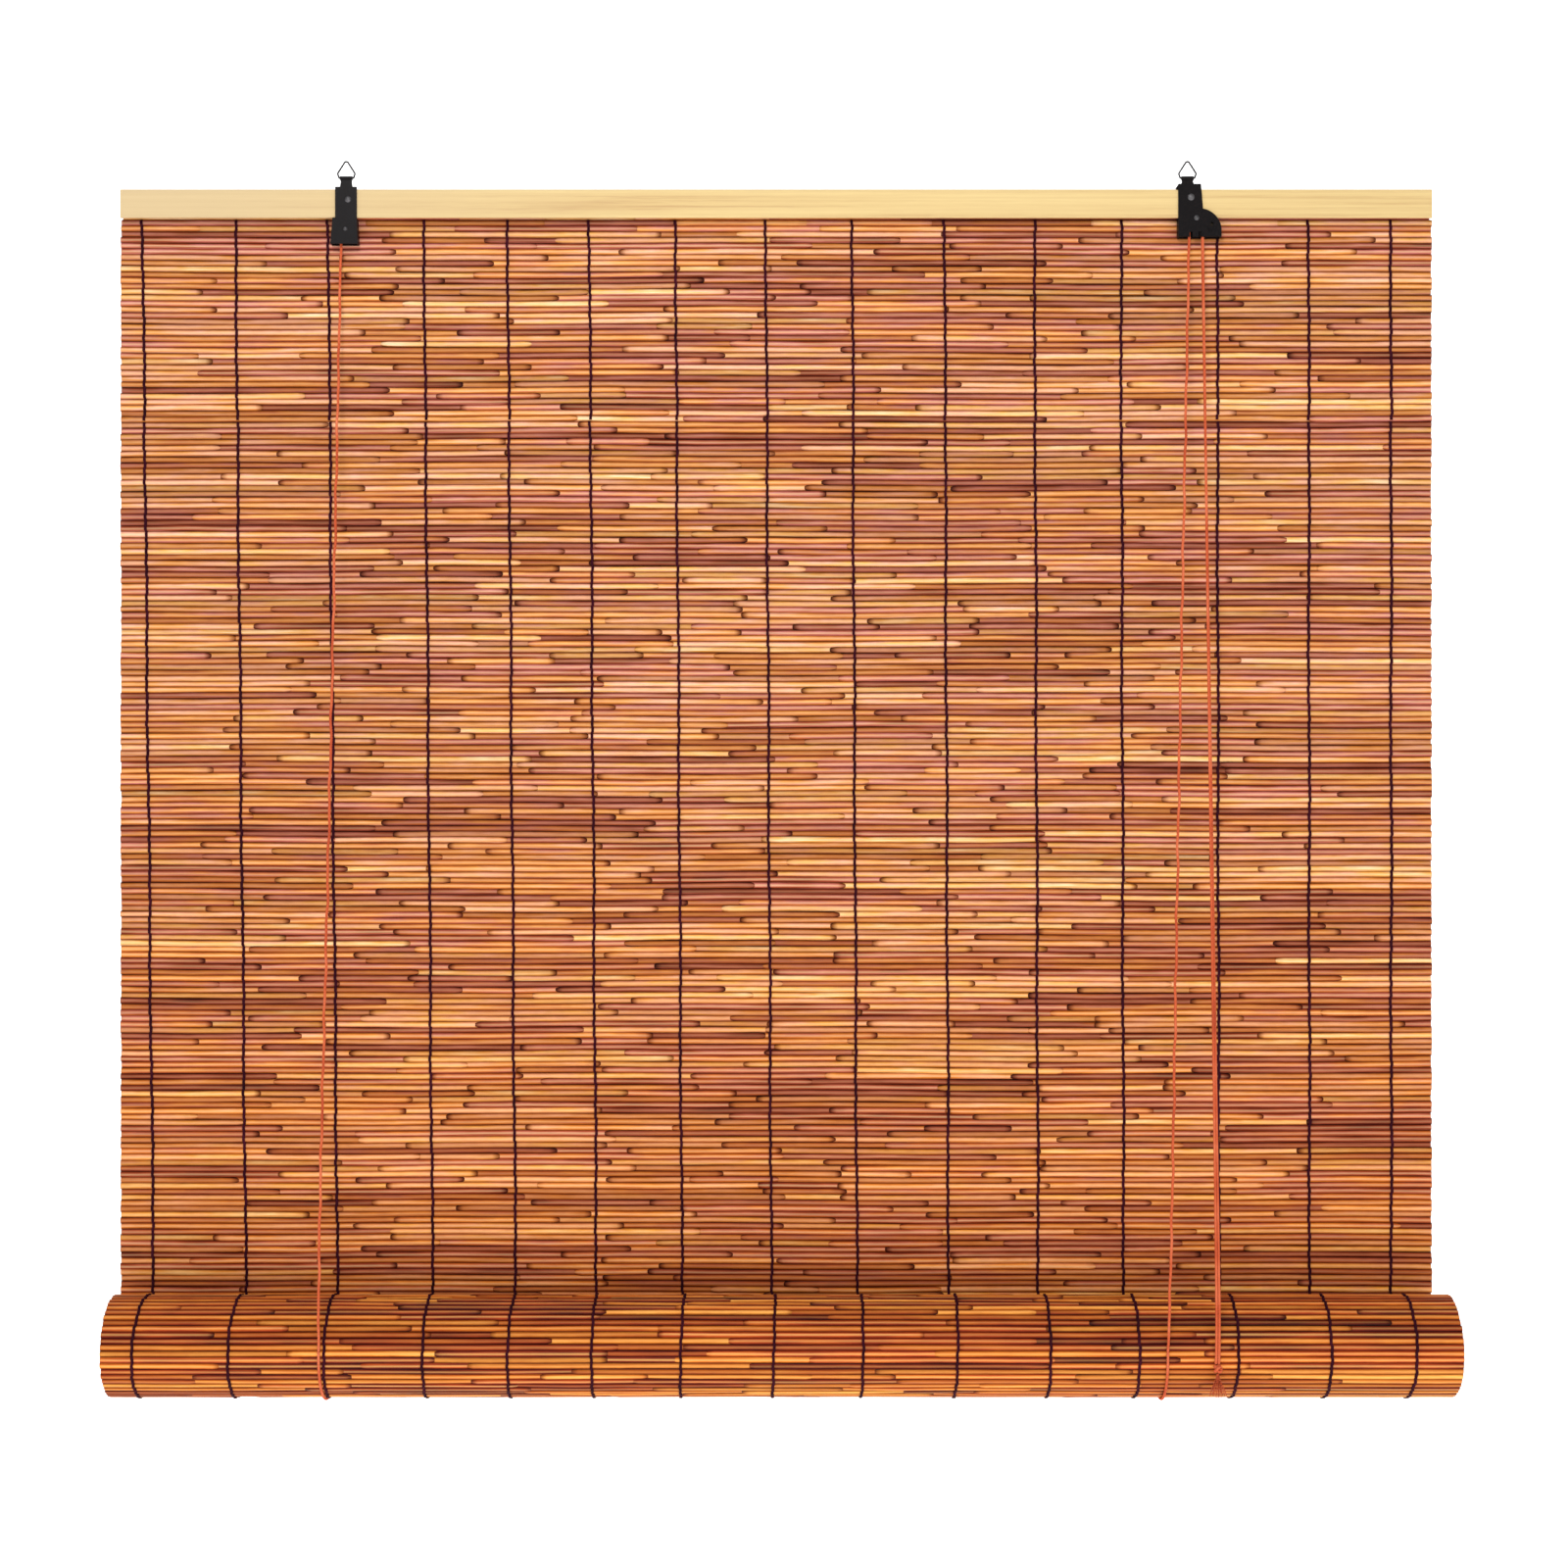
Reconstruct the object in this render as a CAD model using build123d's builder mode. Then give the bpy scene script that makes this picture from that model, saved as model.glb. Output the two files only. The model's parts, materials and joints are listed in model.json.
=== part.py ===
from build123d import *
import os
from math import acos, atan2, ceil, cos, degrees, hypot, pi, sin

# Reed roll-up blind, part lowered: the mat hangs from a wooden top rail and its
# lower half is rolled up in two cord slings.
# The origin is where the wall hook bears inside the left hanging ring.
# +X runs along the rail to the right, -Y points into the room, +Z is up.

# ---------------------------------------------------------------- driving sizes
BLIND_WIDTH = 1200.0
LEFT_OVERHANG = 207.0       # rail end to left ring
HEAD_SPACING = 769.0        # left ring to right ring

REED_DIAMETER = 5.4
REED_PRESS = 0.1            # neighbouring reeds press into each other
HANGING_DROP = 1022.0       # rail's lower edge to the roll's axis
WIND_CLEARANCE = 0.1        # threads of one turn to the reeds of the next
CORE_CLEARANCE = 0.2        # bottom slat to the innermost reeds
HALF_TURNS = 11
MAT_BREAK = 0.4             # between the last hanging reed and the first rolled one

THREAD_INSET = 18.0         # blind's left edge to the first thread
THREAD_SPACING = 81.9
THREAD_UNEVENNESS = (       # each thread from its even place
    0.0, 3.7, 6.6, 12.9, 7.7, 0.7, -1.8, -0.9, -3.5, -0.6, 0.4, -2.2, 4.2, 6.2, 0.0
)
THREAD_WIDTH = 1.6
THREAD_THICKNESS = 0.5
NIP_HEIGHT = 10.0           # front threads stop above the nip between mat and roll

SLAT_WIDTH = 22.0
SLAT_THICKNESS = 6.0

RAIL_HEIGHT = 26.0
FRONT_THICKNESS = 9.0
REAR_THICKNESS = 6.0
RAIL_EDGE_FILLET = 1.0
CHANNEL_HEIGHT = 8.0        # rebate that hides the cross cord
CHANNEL_CLEARANCE = 1.7     # cross cord to the rebate's front
CLAMPED_MARGIN = 0.2        # clamped reeds to the rail's edges

SCREW_COUNT = 5
SCREW_SPACING = 270.0
SCREW_RADIUS = 1.25
SCREW_HEAD_RADIUS = 2.6
SCREW_HEAD_DEPTH = 1.5
SCREW_BITE = 5.0            # depth in the front batten
SCREW_HEIGHT = 17.0         # above the rail's lower edge

PLATE_THICKNESS = 1.2
CHEEK_THICKNESS = 1.0
HOUSING_DEPTH = 7.1         # clear space between plate and cheek
RAIL_CLEARANCE = 0.5        # housing walls below the rail
WALL_THICKNESS = 1.2

CORD_DIAMETER = 1.8
CORD_CLEARANCE = 0.15       # cord to pulley, pin and lock
SLING_CLEARANCE = 0.4       # cord to the roll

WIRE_DIAMETER = 1.5
RING_HEIGHT = 15.3          # wire's middle, base to apex
RING_HALF_WIDTH = 8.0
RING_BASE_HALF = 6.6
RING_SHOULDER = 4.2         # height of the widest place above the base
RING_BEND_RADII = (1.2, 2.0, 2.0)   # base, shoulder, apex
RING_BASE_HEIGHT = 35.9     # base wire above the rail's lower edge
NECK_LOOP_RADIUS = 1.75
NECK_LOOP_WIDTH = 11.4
NECK_WAIST = 10.2
NECK_WAIST_DROP = 3.4       # waist below the base wire

RIVET_RADIUS = 1.5
DOME_HEIGHT = 1.4
HOLE_CLEARANCE = 0.1

PULLEY_WIDTH = 3.0
PULLEY_SIDE_GAP = 0.3
PULLEY_LIP = 1.25           # flange beyond the cord's middle
LEFT_WRAP_RADIUS = 5.0      # cord's middle round the left pulley
RIGHT_WRAP_RADIUS = 6.15

GUIDE_RADIUS = 1.0
SPACER_RADIUS = 2.6

LEFT_PULLEY = (-0.8, -10.4)     # x from the ring, z from the rail's lower edge
LEFT_RIVET = (1.5, 16.5)
LEFT_DOME_RADII = (2.9, 2.0)    # fixing rivet, pulley pin
LEFT_BODY = (-10.2, 9.6, 28.0)  # left, right, top
LEFT_SKIRT = (-12.6, -14.7, 10.5, -24.0)  # left at rail, left foot, right foot, bottom
LEFT_GUIDE = (6.8, -1.3)
LEFT_EXIT = -17.0

RIGHT_PULLEY = (8.3, -0.3)      # x from the right ring
RIGHT_RIVET = (3.3, 18.6)
RIGHT_DOME_RADII = (3.15, 2.5)
RIGHT_BODY = (-8.4, 12.4, 30.7, -17.6)    # left, right, top, bottom
RIGHT_SHOULDER = (14.2, 8.0)    # where the lock's quadrant starts
QUADRANT_MIDDLE = (25.1, 2.4)
QUADRANT_END = (31.2, -12.0)
PRONG = (2.8, 30.2, 26.2, 25.2) # reach, root's top, tip and root's foot above the rail's edge
NOTCH_WIDTH = 2.6
NOTCH_HEIGHT = 4.5
NOTCH_X = (3.3, 11.6)
RIGHT_CHEEK_TOP = 7.0
RAIL_NOTCH_MARGIN = 0.6
RIGHT_EXIT = -13.0

ROLLER_RADIUS = 5.0
ROLLER_HEIGHT = -10.0           # middle, from the rail's lower edge, when locked
AXLE_RADIUS = 1.3
AXLE_HEAD_RADIUS = 2.0
AXLE_HEAD_DEPTH = 0.8
LOCK_TRAVEL = 4.6
LOCK_LEAN = (0.32, 0.947)       # slot's direction in x and z
ANVIL_WIDTH = 1.9
ANVIL_TOP = -8.6
ANVIL_HEIGHT = 7.9
KNURL_COUNT = 16
KNURL_RADIUS = 0.5

REAR_PLATE_WIDTH = 18.0
REAR_PLATE_HEIGHT = 24.0
LUG_HEIGHT = 2.0                # underside above the rail's lower edge
LUG_REACH = 5.0
LUG_HOLE_REACH = 2.4
REAR_KNOT_RADIUS = 2.4

LEFT_SLING_X = -10.0
RIGHT_SLING_X = 738.0
LEFT_REAR_X = -5.0
RIGHT_REAR_X = 768.0
PULL_X = 781.5
PULL_GAP = 0.6                  # between the two pull strands
EXIT_LEAD = 4.0
EXIT_BEND_RADIUS = 20.0
RUN_GAP = 0.15                  # end of a run to its sling

KNOT_RADIUS = 4.0
KNOT_CLEARANCE = 0.3        # knot to the roll
KNOT_GAP = 0.1              # strand ends above the knot
KNOT_DROP = 11.0                # knot's middle below the roll's axis
TASSEL_LENGTH = 22.0
TASSEL_TOP_RADIUS = 2.6
TASSEL_FOOT_RADIUS = 9.5
TASSEL_TUCK = 3.0           # tassel's top below the knot's middle

# ---------------------------------------------------------------- derived places
CORD_RADIUS = CORD_DIAMETER / 2
REED_RADIUS = REED_DIAMETER / 2
RIGHT_RING_X = HEAD_SPACING
LEFT_END = -LEFT_OVERHANG
RIGHT_END = LEFT_END + BLIND_WIDTH
BASE_Z = WIRE_DIAMETER / 2 - RING_HEIGHT
RAIL_Z = BASE_Z - RING_BASE_HEIGHT

REED_PITCH = REED_DIAMETER - REED_PRESS
TURN_PITCH = REED_DIAMETER + THREAD_THICKNESS + WIND_CLEARANCE
CORE_RADIUS = hypot(SLAT_WIDTH, SLAT_THICKNESS) / 2 + CORE_CLEARANCE + REED_RADIUS
ROLL_RADIUS = CORE_RADIUS + (HALF_TURNS - 1) * TURN_PITCH / 2

RAIL_FRONT_Y = PLATE_THICKNESS / 2
RAIL_INNER_Y = RAIL_FRONT_Y + FRONT_THICKNESS
MAT_Y = RAIL_INNER_Y + REED_RADIUS
REAR_INNER_Y = MAT_Y + REED_RADIUS
RAIL_REAR_Y = REAR_INNER_Y + REAR_THICKNESS

CHEEK_Y = RAIL_FRONT_Y + HOUSING_DEPTH
FRONT_LANE_Y = RAIL_FRONT_Y + PULLEY_SIDE_GAP + PULLEY_WIDTH / 2
REAR_LANE_Y = CHEEK_Y - PULLEY_SIDE_GAP - PULLEY_WIDTH / 2

CHANNEL_DEPTH = RAIL_INNER_Y - REAR_LANE_Y + CORD_RADIUS + CHANNEL_CLEARANCE
clamped_rise = RAIL_HEIGHT - 2 * CLAMPED_MARGIN - REED_DIAMETER
CLAMPED_REEDS = ceil(clamped_rise / REED_PITCH) + 1
PULL_SPREAD = CORD_RADIUS + PULL_GAP / 2

ROLL_Y = MAT_Y - ROLL_RADIUS
ROLL_Z = RAIL_Z - HANGING_DROP
SLING_RADIUS = ROLL_RADIUS + REED_RADIUS + SLING_CLEARANCE + CORD_RADIUS

thread_places = [
    LEFT_END + THREAD_INSET + THREAD_SPACING * i + unevenness
    for i, unevenness in enumerate(THREAD_UNEVENNESS)
]
screw_places = [
    (LEFT_END + RIGHT_END) / 2 + SCREW_SPACING * (i - (SCREW_COUNT - 1) / 2)
    for i in range(SCREW_COUNT)
]


def below_rail(place, ring_x):
    """World (x, z) of a place given from a ring and the rail's lower edge."""
    return (ring_x + place[0], RAIL_Z + place[1])


left_pulley_place = below_rail(LEFT_PULLEY, 0)
left_guide_place = below_rail(LEFT_GUIDE, 0)
right_pulley_place = below_rail(RIGHT_PULLEY, RIGHT_RING_X)
left_rivet_place = below_rail(LEFT_RIVET, 0)
right_rivet_place = below_rail(RIGHT_RIVET, RIGHT_RING_X)

strand_x = right_pulley_place[0] + RIGHT_WRAP_RADIUS
roller_x = strand_x + CORD_RADIUS + CORD_CLEARANCE + ROLLER_RADIUS + KNURL_RADIUS
roller_place = (roller_x, RAIL_Z + ROLLER_HEIGHT)


# ---------------------------------------------------------------- shared shapes
def at_depth(y):
    """Upright plane facing the room at depth y, with local x, y along X, Z."""
    return Plane.XZ.offset(-y)


def across(x):
    """Plane across the rail at x, with local x, y along Y, Z."""
    return Plane.YZ.offset(x)


def sweep_cord(path):
    """Sweep the cord's round section along a path, inside the current part."""
    with BuildSketch(Plane(origin=path @ 0, z_dir=path % 0)) as section:
        Circle(CORD_RADIUS)
    sweep(section.sketch, path=path)


def shank(place, front_y, rear_y, radius):
    """Round bar along Y between two depths, inside the current part."""
    with BuildSketch(at_depth(rear_y)) as section:
        with Locations(place):
            Circle(radius)
    extrude(section.sketch, amount=rear_y - front_y)


def dome(place, radius):
    """Domed rivet head on the plates' front face, inside the current part."""
    ball_radius = (radius**2 + DOME_HEIGHT**2) / (2 * DOME_HEIGHT)
    centre_y = -PLATE_THICKNESS / 2 - DOME_HEIGHT + ball_radius
    with BuildSketch(Plane.XY.offset(place[1])) as half_dome:
        with Locations((place[0], centre_y)):
            Circle(ball_radius)
        keep_y = -PLATE_THICKNESS / 2 - DOME_HEIGHT / 2
        with Locations((place[0] + ball_radius / 2, keep_y)):
            Rectangle(ball_radius, DOME_HEIGHT, mode=Mode.INTERSECT)
    revolve(half_dome.sketch, axis=Axis((place[0], 0, place[1]), (0, 1, 0)))


def hole(place, radius, front_y, rear_y):
    """Round hole along Y through what lies between two depths."""
    with BuildSketch(at_depth(rear_y)) as section:
        with Locations(place):
            Circle(radius)
    extrude(section.sketch, amount=rear_y - front_y, mode=Mode.SUBTRACT)


def half_turns():
    """(middle's y, radius, start angle) of each half turn of the roll, outside in."""
    turns = []
    rear_y = MAT_Y
    for i in range(HALF_TURNS):
        radius = ROLL_RADIUS - i * TURN_PITCH / 2
        if i % 2 == 0:
            centre_y = rear_y - radius
            front_y = rear_y - 2 * radius
        else:
            centre_y = front_y + radius
            rear_y = front_y + 2 * radius
        turns.append((centre_y, radius, -pi * i))
    return turns


def sling_tangent(y, z, side):
    """Angle on the sling's circle where a cord from (y, z) meets it: side 1 front, -1 rear."""
    reach = hypot(y - ROLL_Y, z - ROLL_Z)
    return atan2(z - ROLL_Z, y - ROLL_Y) + side * acos(SLING_RADIUS / reach)


def sling_point(x, angle):
    """Point of the sling's circle."""
    return Vector(x, ROLL_Y + SLING_RADIUS * cos(angle), ROLL_Z + SLING_RADIUS * sin(angle))


def over_tangent(a, a_radius, b, b_radius):
    """Angle of the points where a cord leaves circle a and meets circle b, over both."""
    distance = hypot(b[0] - a[0], b[1] - a[1])
    return atan2(b[1] - a[1], b[0] - a[0]) + acos((a_radius - b_radius) / distance)


def on_circle(place, radius, angle, y):
    """Point at an angle on a circle that faces the room, at depth y."""
    return Vector(place[0] + radius * cos(angle), y, place[1] + radius * sin(angle))


# ---------------------------------------------------------------- top rail
with BuildPart() as front_batten:
    with BuildSketch(across(LEFT_END)):
        with Locations((RAIL_FRONT_Y, RAIL_Z)):
            Rectangle(FRONT_THICKNESS, RAIL_HEIGHT, align=(Align.MIN, Align.MIN))
    extrude(amount=BLIND_WIDTH)
    front_edges = front_batten.edges().filter_by(Axis.X).group_by(Axis.Y)[0]
    fillet(front_edges, RAIL_EDGE_FILLET)
    with BuildSketch(across(LEFT_END)):
        with Locations((RAIL_INNER_Y, RAIL_Z)):
            Rectangle(CHANNEL_DEPTH, CHANNEL_HEIGHT, align=(Align.MAX, Align.MIN))
    extrude(amount=BLIND_WIDTH, mode=Mode.SUBTRACT)
    pulley_reach = RIGHT_WRAP_RADIUS + PULLEY_LIP + RAIL_NOTCH_MARGIN
    with BuildSketch(at_depth(RAIL_INNER_Y)):
        with Locations((right_pulley_place[0], RAIL_Z)):
            Rectangle(2 * pulley_reach, CHANNEL_HEIGHT, align=(Align.CENTER, Align.MIN))
    extrude(amount=FRONT_THICKNESS, mode=Mode.SUBTRACT)
    for place in (left_rivet_place, right_rivet_place):
        hole(place, RIVET_RADIUS + HOLE_CLEARANCE, RAIL_FRONT_Y, RAIL_INNER_Y)
    for x in screw_places:
        place = (x, RAIL_Z + SCREW_HEIGHT)
        hole(place, SCREW_RADIUS + HOLE_CLEARANCE, RAIL_INNER_Y - SCREW_BITE, RAIL_INNER_Y)
front_batten.part.label = "front_batten"
export_step(front_batten.part, "parts/front_batten.step")

with BuildPart() as rear_batten:
    with BuildSketch(across(LEFT_END)):
        with Locations((REAR_INNER_Y, RAIL_Z)):
            Rectangle(REAR_THICKNESS, RAIL_HEIGHT, align=(Align.MIN, Align.MIN))
    extrude(amount=BLIND_WIDTH)
    rear_edges = rear_batten.edges().filter_by(Axis.X).group_by(Axis.Y)[-1]
    fillet(rear_edges, RAIL_EDGE_FILLET)
    for place in (left_rivet_place, right_rivet_place):
        hole(place, RIVET_RADIUS + HOLE_CLEARANCE, REAR_INNER_Y, RAIL_REAR_Y)
    for x in screw_places:
        with Locations(at_depth(RAIL_REAR_Y) * Location((x, RAIL_Z + SCREW_HEIGHT, 0), (0, 180, 0))):
            CounterSinkHole(
                SCREW_RADIUS + HOLE_CLEARANCE,
                SCREW_HEAD_RADIUS + HOLE_CLEARANCE,
                depth=REAR_THICKNESS,
                counter_sink_angle=2 * degrees(atan2(SCREW_HEAD_RADIUS - SCREW_RADIUS, SCREW_HEAD_DEPTH)),
            )
rear_batten.part.label = "rear_batten"
export_step(rear_batten.part, "parts/rear_batten.step")

with BuildPart() as rail_screws:
    for x in screw_places:
        place = (x, RAIL_Z + SCREW_HEIGHT)
        shank(place, RAIL_INNER_Y - SCREW_BITE, RAIL_REAR_Y - SCREW_HEAD_DEPTH, SCREW_RADIUS)
        with BuildSketch(at_depth(RAIL_REAR_Y)):
            with Locations(place):
                Circle(SCREW_HEAD_RADIUS)
        with BuildSketch(at_depth(RAIL_REAR_Y - SCREW_HEAD_DEPTH)):
            with Locations(place):
                Circle(SCREW_RADIUS)
        loft()
rail_screws.part.label = "rail_screws"
export_step(rail_screws.part, "parts/rail_screws.step")

# ---------------------------------------------------------------- mat
with BuildPart() as mat_head:
    lowest = CLAMPED_MARGIN + REED_RADIUS
    rise = clamped_rise / (CLAMPED_REEDS - 1)
    with BuildSketch(across(LEFT_END)):
        with Locations(*[(MAT_Y, RAIL_Z + lowest + rise * i) for i in range(CLAMPED_REEDS)]):
            Circle(REED_RADIUS)
    extrude(amount=BLIND_WIDTH)
    for place in (left_rivet_place, right_rivet_place):
        hole(place, RIVET_RADIUS + HOLE_CLEARANCE, RAIL_INNER_Y, REAR_INNER_Y)
    for x in screw_places:
        hole((x, RAIL_Z + SCREW_HEIGHT), SCREW_RADIUS + HOLE_CLEARANCE, RAIL_INNER_Y, REAR_INNER_Y)
mat_head.part.label = "mat_head"
export_step(mat_head.part, "parts/mat_head.step")

hanging_count = round(HANGING_DROP / REED_PITCH)
hanging_pitch = HANGING_DROP / hanging_count
with BuildPart() as hanging_mat:
    with BuildSketch(across(LEFT_END)):
        with Locations(*[(MAT_Y, RAIL_Z - hanging_pitch * (i + 0.5)) for i in range(hanging_count)]):
            Circle(REED_RADIUS)
    extrude(amount=BLIND_WIDTH)
hanging_mat.part.label = "hanging_mat"
export_step(hanging_mat.part, "parts/hanging_mat.step")

with BuildPart() as hanging_threads:
    thread_top = RAIL_Z - MAT_BREAK
    for y, thread_foot in (
        (RAIL_INNER_Y - THREAD_THICKNESS, ROLL_Z + NIP_HEIGHT),
        (REAR_INNER_Y, ROLL_Z + MAT_BREAK),
    ):
        with BuildSketch(Plane.XY.offset(thread_foot)):
            with Locations(*[(x, y) for x in thread_places]):
                Rectangle(THREAD_WIDTH, THREAD_THICKNESS, align=(Align.CENTER, Align.MIN))
        extrude(amount=thread_top - thread_foot)
hanging_threads.part.label = "hanging_threads"
export_step(hanging_threads.part, "parts/hanging_threads.step")

rolled_reeds = []
run_along = REED_PITCH / 2 + MAT_BREAK
for centre_y, radius, start in half_turns():
    while run_along < pi * radius:
        angle = start - run_along / radius
        rolled_reeds.append((centre_y + radius * cos(angle), ROLL_Z + radius * sin(angle)))
        run_along += REED_PITCH
    run_along -= pi * radius

with BuildPart() as rolled_mat:
    with BuildSketch(across(LEFT_END)):
        with Locations(*rolled_reeds):
            Circle(REED_RADIUS)
    extrude(amount=BLIND_WIDTH)
rolled_mat.part.label = "rolled_mat"
export_step(rolled_mat.part, "parts/rolled_mat.step")

with BuildPart() as rolled_threads:
    with BuildSketch(*[across(x - THREAD_WIDTH / 2) for x in thread_places]):
        for centre_y, radius, start in half_turns():
            inner = radius + REED_RADIUS
            outer = inner + THREAD_THICKNESS
            with BuildLine():
                first = CenterArc((centre_y, ROLL_Z), inner, degrees(start), -180)
                second = CenterArc((centre_y, ROLL_Z), outer, degrees(start), -180)
                Line(first @ 0, second @ 0)
                Line(first @ 1, second @ 1)
            make_face()
    extrude(amount=THREAD_WIDTH)
rolled_threads.part.label = "rolled_threads"
export_step(rolled_threads.part, "parts/rolled_threads.step")

with BuildPart() as bottom_slat:
    core_y = half_turns()[-1][0]
    with BuildSketch(across(LEFT_END)):
        with Locations((core_y, ROLL_Z)):
            Rectangle(SLAT_THICKNESS, SLAT_WIDTH)
    extrude(amount=BLIND_WIDTH)
bottom_slat.part.label = "bottom_slat"
export_step(bottom_slat.part, "parts/bottom_slat.step")


# ---------------------------------------------------------------- pulley heads
def neck(ring_x, body_top):
    """Strap that rises from a plate and closes round the ring's base wire."""
    waist_z = BASE_Z - NECK_WAIST_DROP
    half_loop = NECK_LOOP_WIDTH / 2
    half_waist = NECK_WAIST / 2
    with BuildSketch(at_depth(PLATE_THICKNESS / 2)) as strap:
        with BuildLine():
            Polyline(
                (ring_x - half_loop, body_top),
                (ring_x - half_waist, waist_z),
                (ring_x - half_loop, BASE_Z),
                (ring_x + half_loop, BASE_Z),
                (ring_x + half_waist, waist_z),
                (ring_x + half_loop, body_top),
                close=True,
            )
        make_face()
    extrude(strap.sketch, amount=PLATE_THICKNESS)
    with BuildSketch(across(ring_x - half_loop)) as loop:
        with Locations((0, BASE_Z)):
            Circle(NECK_LOOP_RADIUS)
    extrude(loop.sketch, amount=NECK_LOOP_WIDTH)
    with BuildSketch(across(ring_x - half_loop)) as eye:
        with Locations((0, BASE_Z)):
            Circle(WIRE_DIAMETER / 2 + HOLE_CLEARANCE)
    extrude(eye.sketch, amount=NECK_LOOP_WIDTH, mode=Mode.SUBTRACT)


def polygon(points, y, amount, mode=Mode.ADD):
    """Extrude an upright polygon towards the room from depth y."""
    with BuildSketch(at_depth(y)) as outline:
        with BuildLine():
            Polyline(*points, close=True)
        make_face()
    extrude(outline.sketch, amount=amount, mode=mode)


wall_top = RAIL_Z - RAIL_CLEARANCE
left_body_left, left_body_right, left_body_top = LEFT_BODY
skirt_left, foot_left, foot_right, skirt_bottom = LEFT_SKIRT
skirt_z = RAIL_Z + skirt_bottom
left_skirt = [
    (skirt_left, wall_top),
    (foot_left, skirt_z),
    (foot_right, skirt_z),
    (left_body_right, wall_top),
]

with BuildPart() as left_plate:
    polygon(
        [
            (left_body_left, RAIL_Z + left_body_top),
            (left_body_left, wall_top),
            *left_skirt,
            (left_body_right, RAIL_Z + left_body_top),
        ],
        PLATE_THICKNESS / 2,
        PLATE_THICKNESS,
    )
    neck(0, RAIL_Z + left_body_top)
    for top_x, foot_x, inward in (
        (skirt_left, foot_left, WALL_THICKNESS),
        (left_body_right, foot_right, -WALL_THICKNESS),
    ):
        outer_side = [(top_x, wall_top), (foot_x, skirt_z)]
        wall = [*outer_side, (foot_x + inward, skirt_z), (top_x + inward, wall_top)]
        polygon(wall, CHEEK_Y, HOUSING_DEPTH)
    hole(left_rivet_place, RIVET_RADIUS + HOLE_CLEARANCE, -PLATE_THICKNESS / 2, PLATE_THICKNESS / 2)
    hole(left_pulley_place, RIVET_RADIUS + HOLE_CLEARANCE, -PLATE_THICKNESS / 2, PLATE_THICKNESS / 2)
left_plate.part.label = "left_plate"
export_step(left_plate.part, "parts/left_plate.step")

with BuildPart() as left_cheek:
    cheek_rear = CHEEK_Y + CHEEK_THICKNESS
    polygon(left_skirt, cheek_rear, CHEEK_THICKNESS)
    hole(left_pulley_place, RIVET_RADIUS + HOLE_CLEARANCE, CHEEK_Y, cheek_rear)
    hole(left_guide_place, GUIDE_RADIUS, CHEEK_Y, cheek_rear)
left_cheek.part.label = "left_cheek"
export_step(left_cheek.part, "parts/left_cheek.step")

with BuildPart() as left_guide_pin:
    shank(left_guide_place, RAIL_FRONT_Y, CHEEK_Y + CHEEK_THICKNESS, GUIDE_RADIUS)
left_guide_pin.part.label = "left_guide_pin"
export_step(left_guide_pin.part, "parts/left_guide_pin.step")

with BuildPart() as left_spacer:
    spacer_rear = REAR_LANE_Y - PULLEY_WIDTH / 2 - HOLE_CLEARANCE
    shank(left_pulley_place, RAIL_FRONT_Y, spacer_rear, SPACER_RADIUS)
    hole(left_pulley_place, RIVET_RADIUS + HOLE_CLEARANCE, RAIL_FRONT_Y, spacer_rear)
left_spacer.part.label = "left_spacer"
export_step(left_spacer.part, "parts/left_spacer.step")

shoulder_x, shoulder_z = below_rail(RIGHT_SHOULDER, RIGHT_RING_X)
quadrant_middle = below_rail(QUADRANT_MIDDLE, RIGHT_RING_X)
quadrant_end = below_rail(QUADRANT_END, RIGHT_RING_X)
right_left = RIGHT_RING_X + RIGHT_BODY[0]
right_right = RIGHT_RING_X + RIGHT_BODY[1]
right_top = RAIL_Z + RIGHT_BODY[2]
right_bottom = RAIL_Z + RIGHT_BODY[3]
slot_end = (
    roller_place[0] + LOCK_TRAVEL * LOCK_LEAN[0],
    roller_place[1] + LOCK_TRAVEL * LOCK_LEAN[1],
)


def right_outline():
    """Outline of the right plate with the lock's quadrant, inside the current sketch."""
    with BuildLine() as outline:
        Polyline(
            (shoulder_x, shoulder_z),
            (right_right, right_top),
            (right_left, right_top),
            (right_left, right_bottom),
            (quadrant_end[0], right_bottom),
            quadrant_end,
        )
        ThreePointArc(quadrant_end, quadrant_middle, (shoulder_x, shoulder_z))
    make_face(outline.edges())


def lock_slot(y, amount):
    """Slanted slot that the lock's axle rides in."""
    middle = ((roller_place[0] + slot_end[0]) / 2, (roller_place[1] + slot_end[1]) / 2)
    with BuildSketch(at_depth(y)) as slot:
        SlotCenterPoint(middle, slot_end, 2 * (AXLE_RADIUS + HOLE_CLEARANCE))
    extrude(slot.sketch, amount=amount, mode=Mode.SUBTRACT)


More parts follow.
